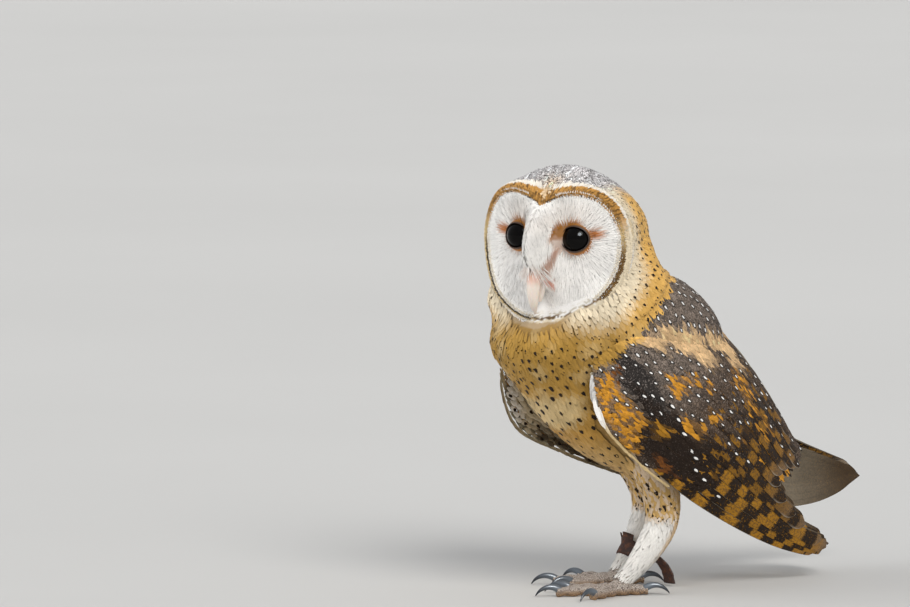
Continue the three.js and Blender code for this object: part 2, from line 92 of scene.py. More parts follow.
def add_light(name, towards, spread, strength, colour=(1, 1, 1)):
    """A broad soft light from far away, on the side that towards points to."""
    data = bpy.data.lights.new(name, "SUN")
    data.angle = math.radians(spread)
    data.energy = strength
    data.color = colour
    light = bpy.data.objects.new(name, data)
    bpy.context.scene.collection.objects.link(light)
    light.location = Vector(towards).normalized() * 3
    aim(light, (0, 0, 0))
    return light


def srgb(r, g, b):
    """A colour named by its 0 to 255 values, as the renderer's linear numbers."""
    c = np.array([r, g, b]) / 255
    return np.where(c <= 0.04045, c / 12.92, ((c + 0.055) / 1.055) ** 2.4)


# ---------- node graphs ----------


class Graph:
    """Short names for building one material's nodes."""

    def __init__(self, name, roughness=0.7, **constants):
        """Starts a material; constants set its shader's inputs."""
        self.material = bpy.data.materials.new(name)
        self.material.use_nodes = True
        self.tree = self.material.node_tree
        self.tree.nodes.clear()
        out = self.tree.nodes.new("ShaderNodeOutputMaterial")
        self.shader = self.tree.nodes.new("ShaderNodeBsdfPrincipled")
        self.tree.links.new(self.shader.outputs[0], out.inputs[0])
        self.shader.inputs["Roughness"].default_value = roughness
        for socket, value in constants.items():
            self.shader.inputs[socket.replace("_", " ")].default_value = value

    def put(self, socket, value):
        """Links a socket's value to a node's output, or sets it to a number or colour."""
        if isinstance(value, bpy.types.NodeSocket):
            self.tree.links.new(value, socket)
        elif hasattr(value, "__len__") and len(value) == 3 and len(socket.default_value) == 4:
            socket.default_value = (*value, 1)
        else:
            socket.default_value = value

    def node(self, kind, values=(), out=0, **settings):
        """A new node with these inputs; gives one of its outputs."""
        node = self.tree.nodes.new(kind)
        for key, value in settings.items():
            setattr(node, key, value)
        for key, value in dict(values).items():
            self.put(node.inputs[key], value)
        return node.outputs[out]

    def attribute(self, name, out=1):
        return self.node("ShaderNodeAttribute", attribute_name=name, out=out)

    def math(self, operation, a, b=0.0, clamp=False):
        return self.node("ShaderNodeMath", {0: a, 1: b}, operation=operation, use_clamp=clamp)

    def plus(self, a, b):
        return self.math("ADD", a, b)

    def minus(self, a, b, clamp=False):
        return self.math("SUBTRACT", a, b, clamp)

    def times(self, a, b, clamp=False):
        return self.math("MULTIPLY", a, b, clamp)

    def swing(self, value, strength):
        """A value around 0.5 turned into one around 0, times a strength."""
        return self.times(self.minus(value, 0.5), strength)

    def split(self, vector):
        """A vector's three parts."""
        node = self.tree.nodes.new("ShaderNodeSeparateXYZ")
        self.put(node.inputs[0], vector)
        return node.outputs

    def mix(self, factor, a, b):
        """A mix of two colours."""
        return self.node("ShaderNodeMix", {0: factor, 6: a, 7: b}, out=2, data_type="RGBA")

    def step(self, value, low, high, start=0.0, end=1.0):
        """A smooth ramp of value from low to high."""
        return self.node(
            "ShaderNodeMapRange",
            {0: value, 1: low, 2: high, 3: start, 4: end},
            interpolation_type="SMOOTHSTEP",
        )

    def place(self):
        """The place on the object, in metres."""
        return self.node("ShaderNodeTexCoord", out=3)

    def noise(self, scale, detail=2.0, roughness=0.5, vector=None):
        values = {"Vector": vector or self.place(), "Scale": scale, "Detail": detail, "Roughness": roughness}
        return self.node("ShaderNodeTexNoise", values)

    def cells(self, scale, feature="F1"):
        return self.node("ShaderNodeTexVoronoi", {"Vector": self.place(), "Scale": scale}, feature=feature)

    def oval(self, x, y, half_x, half_y):
        """How far a place is from an oval's middle, 1 at its edge."""
        x = self.math("DIVIDE", x, half_x)
        y = self.math("DIVIDE", y, half_y)
        return self.math("SQRT", self.plus(self.times(x, x), self.times(y, y)))

    def colour(self, value):
        self.put(self.shader.inputs["Base Color"], value)

    def bump(self, height, distance, strength=1.0):
        """Raises the surface by a height."""
        normal = self.node("ShaderNodeBump", {"Height": height, "Distance": distance, "Strength": strength})
        self.put(self.shader.inputs["Normal"], normal)


# ---------- colours ----------

WHITE = srgb(240, 236, 230)
DISC_WHITE = srgb(250, 247, 242)
DISC_SHADE = srgb(214, 200, 186)
EYE_ORANGE = srgb(186, 118, 44)
EYE_GOLD = srgb(186, 106, 20)
TEAR_BROWN = srgb(170, 104, 58)
CERE_PINK = srgb(226, 160, 140)
GOLDEN = srgb(232, 182, 96)
CREAM = srgb(238, 222, 192)
# The breast's golden tint, darkened as painted shade for the breast's shaded front.
BREAST_SHADED = srgb(174, 134, 60)
BELLY = srgb(190, 144, 68)
PALE_BREAST = srgb(214, 188, 138)
CROWN_GREY = srgb(212, 208, 208)
COVERT_BROWN = srgb(88, 70, 54)
MANTLE_GREY = srgb(130, 116, 104)
CHARCOAL = srgb(50, 45, 42)
BLACK_BROWN = srgb(36, 23, 12)
UMBER = srgb(38, 24, 10)
RED_BROWN = srgb(118, 70, 26)
OCHRE = srgb(216, 150, 44)
PEACH = srgb(244, 204, 152)
RIM_OCHRE = srgb(196, 144, 72)
RIM_DARK = srgb(46, 30, 14)
STRIP_OCHRE = srgb(176, 124, 32)
FLIGHT_GREY = srgb(116, 98, 80)
PALE_EDGE = srgb(190, 176, 156)
UNDERWING = srgb(204, 192, 164)
WEDGE_GREY = srgb(142, 132, 114)
WEDGE_BROWN = srgb(72, 56, 38)
EDGE_GREY = srgb(190, 180, 154)
SHANK_WHITE = srgb(232, 229, 223)
BUFF = srgb(206, 164, 96)
DOT_BROWN = srgb(38, 26, 16)
SPOT_WHITE = srgb(248, 246, 242)
LID_BROWN = srgb(58, 38, 24)
LID_OLIVE = srgb(164, 106, 26)
PALE_FLECK = srgb(168, 156, 148)
BILL_CERE = srgb(226, 182, 164)
BILL_HORN = srgb(232, 216, 204)
BILL_TIP = srgb(212, 198, 190)
SOLE_BROWN = srgb(176, 138, 96)
TOE_GREY = srgb(196, 184, 172)
CLAW_SLATE = srgb(92, 100, 108)
CLAW_DARK = srgb(30, 33, 40)
LEATHER = srgb(58, 36, 28)
LEATHER_EDGE = srgb(104, 66, 46)


def ease(x, low, high):
    """A soft step from 0 at low to 1 at high; low may be the larger."""
    t = np.clip((np.asarray(x, float) - low) / (high - low), 0, 1)
    return t * t * (3 - 2 * t)


def blend(a, b, share):
    """A mix of two colours, or of lists of them, with a share of the second."""
    share = np.asarray(share, float)[..., None]
    return np.asarray(a) * (1 - share) + np.asarray(b) * share


# ---------- the owl's shape ----------


def smooth(values):
    """A smooth curve through a list of numbers or of short lists; t runs from 0 to 1."""
    points = np.array(values, float)
    if points.ndim == 1:
        points = points[:, None]
    ends = 2 * points[[0, -1]] - points[[1, -2]]
    knots = np.concatenate([ends[:1], points, ends[1:]])
    last = len(points) - 1

    def at(t):
        t = np.clip(np.asarray(t, float), 0, 1) * last
        i = np.minimum(t.astype(int), last - 1)
        w = (t - i)[..., None]
        before, a, b, after = (knots[i + k] for k in range(4))
        leave, arrive = (b - before) / 2, (after - a) / 2
        square = 3 * (b - a) - 2 * leave - arrive
        cube = leave + arrive - 2 * (b - a)
        return a + leave * w + square * w**2 + cube * w**3

    return at


HEAD_AT = np.array([13, -55.5, 246])
HEAD_YAW = math.radians(24)
HEAD_LEFT = np.array([math.cos(HEAD_YAW), math.sin(HEAD_YAW), 0])
HEAD_AHEAD = np.array([math.sin(HEAD_YAW), -math.cos(HEAD_YAW), 0])
UP = np.array([0.0, 0, 1])
SKULL_HALF_WIDTH, CROWN_HEIGHT, CHIN_DROP = 57.5, 49.5, 62
NAPE_REACH, NAPE_SAG, NAPE_POWER, EGG_SHARE = 82, 8, 1.08, 0.19
RUFF_BROW, RUFF_CHEEK, RUFF_TURN, RUFF_SPREAD = 6.5, 7.5, 0.7, 0.17
RUFF_ROLL = 0.107  # the share of the way back at which the ruff's roll is complete
RIDGE_HALF_WIDTH = 10.5
DISC_MIDDLE, BOWL_RISE = -12, 11
EYE_RADIUS = 10.6
EYE_X, EYE_F, EYE_Z = 22.2, 5, -0.5
# Half of the heart's rim from the brow's notch to the chin: x, forward reach, z.
RIM = smooth([
    [0, 16, 22.5], [10, 14.5, 27.5], [25, 11, 30.5], [40, 6, 26.5], [50, 1.5, 15], [54.5, 0, -2],
    [52, 1, -21], [44, 6, -36], [33, 10, -47], [18, 15, -55.5], [0, 19.5, -59.5],
])
# The ridge between the eyes: height, forward reach.
RIDGE = smooth([[24, 15], [13, 27], [1, 35], [-12, 36], [-22, 29], [-32, 18], [-45, 14], [-59, 18]])
RIDGE_SAMPLES = RIDGE(np.linspace(0, 1, 400))


def head_place(x, f, z):
    """Points from their x, forward reach and height in the head's own frame."""
    return HEAD_AT + x[..., None] * HEAD_LEFT + f[..., None] * HEAD_AHEAD + z[..., None] * UP


def head_local(points):
    """x, forward reach and height of points, in the head's own frame."""
    away = points - HEAD_AT
    return away @ HEAD_LEFT, away @ HEAD_AHEAD, away @ UP


def rim_at(turn):
    """The rim at a turn of 0 to 2 from the brow's notch, over the bird's left side."""
    side = np.where(turn <= 1, 1.0, -1.0)
    p = RIM(np.where(turn <= 1, turn, 2 - turn))
    return p[..., 0] * side, p[..., 1], p[..., 2]


def ridge_at(z):
    """Forward reach of the ridge between the eyes at a height."""
    return np.interp(-z, -RIDGE_SAMPLES[:, 0], RIDGE_SAMPLES[:, 1])


def disc_f(x, z, q, rim_f):
    """Forward reach of the face; q runs from 0 in the disc's middle to 1 at the rim."""
    bowl = rim_f * q**1.5 + BOWL_RISE * (1 - q**2)
    spread = RIDGE_HALF_WIDTH * (1 + 0.5 * ease(-z, 10, 45))
    return bowl + (ridge_at(z) - bowl) * np.exp(-((x / spread) ** 2))


def head_point(turn, back):
    """The head's surface. back runs from -1 in the disc's middle through 0 at its rim to 1 at the nape."""
    turn, back = np.broadcast_arrays(turn, back)
    rx, rf, rz = rim_at(turn)
    q = np.clip(1 + back, 0, 1)
    dx, dz = rx * q, DISC_MIDDLE + (rz - DISC_MIDDLE) * q
    face = np.stack([dx, disc_f(dx, dz, q, rf), dz])
    share = np.clip(back, 0, 1)
    half = np.where(turn <= 1, turn, 2 - turn)
    ruff = RUFF_BROW + (RUFF_CHEEK - RUFF_BROW) * np.exp(-(((half - RUFF_TURN) / RUFF_SPREAD) ** 2))
    roll = np.sin(np.clip(share / RUFF_ROLL, 0, 1) * math.pi / 2)
    swell = 1 + ruff * roll / np.hypot(rx, rz)
    hx, hz = rx * swell, rz * swell
    bend = share * math.pi / 2
    shrink = np.cos(bend) ** NAPE_POWER
    egg = ease(share, 0, EGG_SHARE)
    angle = np.arctan2(hx, hz)
    ex = np.sin(angle) * SKULL_HALF_WIDTH
    ez = np.cos(angle) * np.where(hz > 0, CROWN_HEIGHT, CHIN_DROP)
    x = (hx + (ex - hx) * egg) * shrink
    z = (hz + (ez - hz) * egg) * shrink - NAPE_SAG * share**2
    f = rf * (1 - egg) * (1 - share) - NAPE_REACH * np.sin(bend) ** 1.25
    p = np.where(back <= 0, face, np.stack([x, f, z]))
    return head_place(*p)


# The body from neck to rump: its front and its back line (y, z) and its half width.
BODY = [
    ([-26, 240], [10, 246], 44), ([-52, 216], [16, 223], 63), ([-78, 188], [45, 211], 62),
    ([-86, 166], [70, 190], 60), ([-68, 140], [85, 163], 51), ([-45, 113], [98, 139], 47),
    ([-14, 90], [110, 118], 42), ([24, 74], [120, 100], 34), ([62, 65], [127, 84], 25),
    ([92, 60], [131, 72], 15),
]
BODY_FRONT, BODY_BACK, BODY_HALF = (smooth([s[k] for s in BODY]) for k in range(3))
BODY_POWER = 2.3
# The loose feathers below the right cheek: an egg's middle and half lengths.
THROAT_AT, THROAT_REACH = np.array([-30, -46, 200.0]), np.array([25, 32, 24.0])


def body_point(turn, along):
    """The body's surface: along runs from the neck to the rump, turn 0 to 2 round from the left side."""
    turn, along = np.broadcast_arrays(turn, along)
    a = turn * math.pi
    front, back = BODY_FRONT(along), BODY_BACK(along)
    half_depth = (back - front) / 2
    middle = (back + front) / 2
    ca, sa = np.cos(a), np.sin(a)
    rx = np.sign(ca) * np.abs(ca) ** (2 / BODY_POWER) * BODY_HALF(along)[..., 0]
    rd = np.sign(sa) * np.abs(sa) ** (2 / BODY_POWER)
    yz = middle + half_depth * rd[..., None]
    return np.concatenate([rx[..., None], yz], -1)


# Folded wings from shoulder to tip: the lower and the upper edge (y, z), how far out the lower edge,
# the middle and the upper edge lie, and the thickness.
LEFT_WING = [
    ([-46, 180], [-38, 186], [46, 50, 48], 4), ([-51, 158], [-8, 198], [50, 60, 50], 7),
    ([-44, 124], [34, 194], [53, 64, 40], 8), ([-12, 93], [72, 173], [50, 63, 29], 7.5),
    ([28, 67], [103, 143], [44, 57, 22], 6), ([70, 44], [128, 107], [38, 46, 22], 4.5),
    ([108, 27], [147, 72], [32, 37, 24], 3.2), ([138, 18], [161, 44], [28, 31, 25], 2.2),
    ([154, 16], [164, 26], [25, 26, 25], 1.5),
]
RIGHT_WING = [
    ([-44, 178], [-36, 184], [46, 50, 48], 4), ([-56, 152], [-8, 196], [54, 60, 50], 7),
    ([-44, 111], [32, 190], [56, 63, 40], 8), ([-10, 91], [70, 168], [53, 62, 29], 7.5),
    ([30, 75], [102, 140], [49, 57, 22], 6), ([80, 58], [130, 113], [42, 46, 22], 4.5),
    ([134, 44], [160, 92], [34, 37, 24], 3.2), ([183, 44], [195, 76], [28, 30, 25], 2.2),
    ([221, 59], [225, 64], [25, 26, 25], 1.5),
]
WINGS = {
    side: [smooth([w[k] for w in stations]) for k in range(4)]
    for side, stations in ((1, LEFT_WING), (-1, RIGHT_WING))
}


def wing_point(side, along, across):
    """A wing's outer face: along runs from the shoulder to the tip, across from the lower edge up."""
    along, across = np.broadcast_arrays(along, across)
    low, high, out, _ = WINGS[side]
    o, t = out(along), across
    x = o[..., 0] * (1 - t) * (1 - 2 * t) + o[..., 1] * 4 * t * (1 - t) + o[..., 2] * t * (2 * t - 1)
    edge = low(along) * (1 - t)[..., None] + high(along) * t[..., None]
    return np.concatenate([side * x[..., None], edge], -1)


def wing_thick(side, along):
    """A wing's thickness at a share of its length."""
    return WINGS[side][3](along)[..., 0]


def wing_chord(side, along):
    """The distance between a wing's edges at a share of its length."""
    low, high = WINGS[side][:2]
    return np.linalg.norm(high(along) - low(along), axis=-1)


# The tail's middle line (y, z), its half width and its camber.
TAIL = [([98, 70], 13, 6), ([122, 54], 18, 6), ([148, 37], 20, 5), ([162, 27], 19, 4), ([170, 22], 13, 3)]
TAIL_LINE, TAIL_HALF, TAIL_CAMBER = (smooth([p[k] for p in TAIL]) for k in range(3))


def tail_point(along, across):
    """The tail's upper face: across runs from 0 at its right edge to 1 at its left."""
    along, across = np.broadcast_arrays(along, across)
    out = 2 * across - 1
    yz = TAIL_LINE(along)
    x = out * TAIL_HALF(along)[..., 0]
    z = yz[..., 1] - TAIL_CAMBER(along)[..., 0] * out**2
    return np.stack([x, yz[..., 0], z], -1)


# The legs' centre lines from hip to foot, for the left side and the right.
LEG_PATHS = {
    1: [[21, 12, 100], [22, 21, 80], [22, 26, 62], [22, 25, 46], [22, 16, 31], [22, 3, 17], [22, -8, 8]],
    -1: [[-20, 26, 100], [-21, 37, 80], [-21, 43, 64], [-21, 43, 49],
         [-20.5, 36, 34], [-20, 26, 19], [-20, 17, 8]],
}
LEG_RADIUS = smooth([17, 15, 12.6, 11.3, 9.6, 7.4, 5.8])
FOOT_YAW = -24


def tube_point(line, radius, along, turn, flat=1.0):
    """A round limb along a smooth line; turn runs 0 to 2 from the bird's left, flat squeezes it upright."""
    along, turn = np.broadcast_arrays(along, turn)
    d = 0.01
    ahead = unit(line(np.minimum(1, along + d)) - line(np.maximum(0, along - d)))
    left = np.zeros_like(ahead)
    left[..., 0] = 1
    left = unit(left - ahead * (left * ahead).sum(-1, keepdims=True))
    over = np.cross(ahead, left)
    a = (turn * math.pi)[..., None]
    return line(along) + radius[..., None] * (left * np.cos(a) + over * np.sin(a) * flat)


def unit(v):
    """Vectors at length 1."""
    return v / np.maximum(np.linalg.norm(v, axis=-1, keepdims=True), 1e-9)


# ---------- meshes ----------


def add_mesh(name, vertices, faces, material=None, smooth_faces=True):
    """A new object from points in the owl's own coordinates and its faces."""
    mesh = bpy.data.meshes.new(name)
    mesh.from_pydata(in_frame(vertices).tolist(), [], [tuple(int(i) for i in f) for f in faces])
    mesh.update()
    if smooth_faces:
        mesh.shade_smooth()
    thing = bpy.data.objects.new(name, mesh)
    bpy.context.scene.collection.objects.link(thing)
    if material:
        mesh.materials.append(material)
    return thing


def owl_points(mesh):
    """A mesh's vertices in the owl's own coordinates."""
    flat = np.empty(len(mesh.vertices) * 3)
    mesh.vertices.foreach_get("co", flat)
    return flat.reshape(-1, 3) / MM - TO_FRAME


def grid_faces(rows, columns, wrap):
    """Quads of a grid of points; wrap joins the last column to the first."""
    r, c = np.meshgrid(np.arange(rows - 1), np.arange(columns if wrap else columns - 1), indexing="ij")
    a = r * columns + c
    b = r * columns + (c + 1) % columns
    return np.stack([a, b, b + columns, a + columns], -1).reshape(-1, 4)


def closed_tube(points):
    """Vertices and faces of a grid of rings, closed at both ends with a fan."""
    rows, columns = points.shape[:2]
    faces = grid_faces(rows, columns, True).tolist()
    hubs = [points[0].mean(0), points[-1].mean(0)]
    vertices = np.concatenate([points.reshape(-1, 3), hubs])
    count = rows * columns
    last = (rows - 1) * columns
    for i in range(columns):
        j = (i + 1) % columns
        faces.append((count, j, i))
        faces.append((count + 1, last + i, last + j))
    return vertices, faces


def full_turn(count):
    """Evenly spaced angles all the way round."""
    return np.linspace(0, 2 * math.pi, count + 1)[:-1]


def ball_rings(rows, columns, pole_gap=0.1):
    """The x, y and z of a ball of radius 1, as rings about z that end near its poles."""
    polar = np.linspace(pole_gap, math.pi - pole_gap, rows)[:, None]
    around = full_turn(columns)[None]
    return np.sin(polar) * np.cos(around), np.sin(polar) * np.sin(around), np.cos(polar) + 0 * around


def ring_faces(rows, columns):
    """Quads of a closed band: rows of rings whose last row joins the first."""
    k = np.arange(columns)
    last, after = (rows - 1) * columns, (k + 1) % columns
    close = np.stack([last + k, last + after, after, k], 1)
    return np.concatenate([grid_faces(rows, columns, True), close])


def closed_plate(outer, inner):
    """A closed tube from a grid's outer and inner face."""
    return closed_tube(np.concatenate([outer, inner[:, ::-1]], 1))


def fuse(name, parts, voxel, smoothing):
    """Joins closed parts into one smooth surface of even quads."""
    vertices, faces, offset = [], [], 0
    for points, part_faces in parts:
        vertices.append(points)
        faces += [[i + offset for i in face] for face in part_faces]
        offset += len(points)
    thing = add_mesh(name, np.concatenate(vertices), faces)
    remesh = thing.modifiers.new("fuse", "REMESH")
    remesh.mode, remesh.voxel_size = "VOXEL", voxel * MM
    relax = thing.modifiers.new("relax", "SMOOTH")
    relax.iterations = smoothing
    done = bpy.data.meshes.new_from_object(thing.evaluated_get(bpy.context.evaluated_depsgraph_get()))
    thing.modifiers.clear()
    thing.data = done
    done.shade_smooth()
    return thing


def point_normals(points, faces):
    """Unit normals at the points of a mesh of quads."""
    a, b, c, d = (points[faces[:, k]] for k in range(4))
    facing = np.cross(c - a, d - b)
    total = np.zeros_like(points)
    for k in range(4):
        for axis in range(3):
            total[:, axis] += np.bincount(faces[:, k], facing[:, axis], len(points))
    return unit(total)


class Guide:
    """A surface that feathers root on and lie along, with a two-number place at each of its points."""

    def __init__(self, points, faces, places, facing=None):
        self.points, self.faces, self.places = points, faces, places
        self.normals = point_normals(points, faces)
        if facing is not None and (self.normals * facing).sum() < 0:
            self.normals = -self.normals
        self.tree = BVHTree.FromPolygons(points.tolist(), faces.tolist())

    def nearest(self, points):
        """The nearest places on the surface: positions, normals and distances."""
        found = [self.tree.find_nearest(p) for p in points.tolist()]
        at = np.array([f[0] for f in found])
        corners = self.faces[[f[2] for f in found]]
        away = np.linalg.norm(self.points[corners] - at[:, None], axis=2)
        weight = 1 / (away**2 + 0.01)
        normal = (self.normals[corners] * weight[..., None]).sum(1)
        return at, unit(normal), np.array([f[3] for f in found])

    def scatter(self, spacing, seed):
        """Evenly spread roots; spacing(place, points) is their distance, or 0 where none grow."""
        rng = np.random.default_rng(seed)
        corners = self.points[self.faces]
        diagonals = corners[:, 2] - corners[:, 0], corners[:, 3] - corners[:, 1]
        area = np.linalg.norm(np.cross(*diagonals), axis=1) / 2
        gap = np.broadcast_to(spacing(self.places[self.faces].mean(1), corners.mean(1)), area.shape)
        weight = np.where(gap > 0, area / np.maximum(gap, 0.1) ** 2, 0)
        pick = rng.choice(len(area), int(weight.sum() * 5), p=weight / weight.sum())
        s, t = rng.random((2, len(pick), 1))

        def mixed(values):
            a, b, c, d = values[self.faces[pick]].transpose(1, 0, 2)
            return (a * (1 - t) + b * t) * (1 - s) + (d * (1 - t) + c * t) * s

        at = mixed(self.points)
        chosen = spread_out(at, gap[pick])
        return at[chosen], unit(mixed(self.normals))[chosen], mixed(self.places)[chosen]


def grid_guide(points, rows, columns, wrap, facing):
    """A guide over a grid of points whose rows and columns carry the given place numbers."""
    places = np.stack(np.broadcast_arrays(rows, columns), -1).reshape(-1, 2)
    return Guide(points.reshape(-1, 3), grid_faces(*points.shape[:2], wrap), places, facing)


def spread_out(points, gaps):
    """Indices of points, in order, of which no two are nearer than their gap."""
    size = float(np.max(gaps))
    cells = {}
    chosen = []
    keys = np.floor(points / size).astype(int)
    near = [(x, y, z) for x in (-1, 0, 1) for y in (-1, 0, 1) for z in (-1, 0, 1)]
    for i, (p, key, gap) in enumerate(zip(points.tolist(), keys.tolist(), np.asarray(gaps).tolist())):
        taken = (q for x, y, z in near for q in cells.get((key[0] + x, key[1] + y, key[2] + z), ()))
        if all((p[0] - q[0]) ** 2 + (p[1] - q[1]) ** 2 + (p[2] - q[2]) ** 2 >= gap * gap for q in taken):
            cells.setdefault(tuple(key), []).append(p)
            chosen.append(i)
    return np.array(chosen)


def thinned(points, gap, seed):
    """1 for an evenly spread part of the points, at least gap apart, and 0 for the rest."""
    order = np.random.default_rng(seed).permutation(len(points))
    kept = order[spread_out(points[order], np.broadcast_to(gap, len(points))[order])]
    mask = np.zeros(len(points))
    mask[kept] = 1
    return mask


def comb(guide, roots, normals, flow, lengths, steps, seed=0, stray=0.08):
    """Centre lines of feathers combed over a guide along a flow.

    It gives the points, normals and headings at each step.
    """
    rng = np.random.default_rng(seed)
    at, normal = roots, normals
    ahead = unit(flow - normal * (flow * normal).sum(1, keepdims=True))
    ahead = unit(ahead + np.cross(normal, ahead) * rng.normal(0, stray, (len(at), 1)))
    pace = (np.broadcast_to(lengths, len(at)) / steps)[:, None]
    line, up, heading = [at], [normal], [ahead]
    for _ in range(steps):
        free = at + ahead * pace
        on, facing, gap = guide.nearest(free)
        held = (gap < 0.4 * pace[:, 0])[:, None]
        at = np.where(held, on, free)
        normal = np.where(held, facing, normal)
        ahead = unit(ahead - normal * (ahead * normal).sum(1, keepdims=True))
        line.append(at)
        up.append(normal)
        heading.append(ahead)
    return tuple(np.stack(x, 1) for x in (line, up, heading))


def tip_run(v):
    """The share of a flight feather's length at a share v of its rows, which crowd towards the tip."""
    return 1 - (1 - v) ** 1.6


def flight_outline(v):
    """A nearly even width with a rounded tip."""
    into_tip = np.clip((tip_run(v) - 0.92) / 0.082, 0, 1)
    return (0.55 + 0.45 * ease(v, 0, 0.2)) * np.sqrt(1 - into_tip**2)


# Feather outlines: half width at a share v of the length, as a part of the greatest half width.
OUTLINES = {
    "round": lambda v: (0.4 + 0.6 * ease(v, 0, 0.5)) * (1 - 0.55 * ease(v, 0.72, 1.0)),
    "long": lambda v: (0.55 + 0.45 * ease(v, 0, 0.3)) * (1 - 0.75 * ease(v, 0.86, 1.02)),
    "flight": flight_outline,
    "hair": lambda v: 1 - 0.8 * v,
}


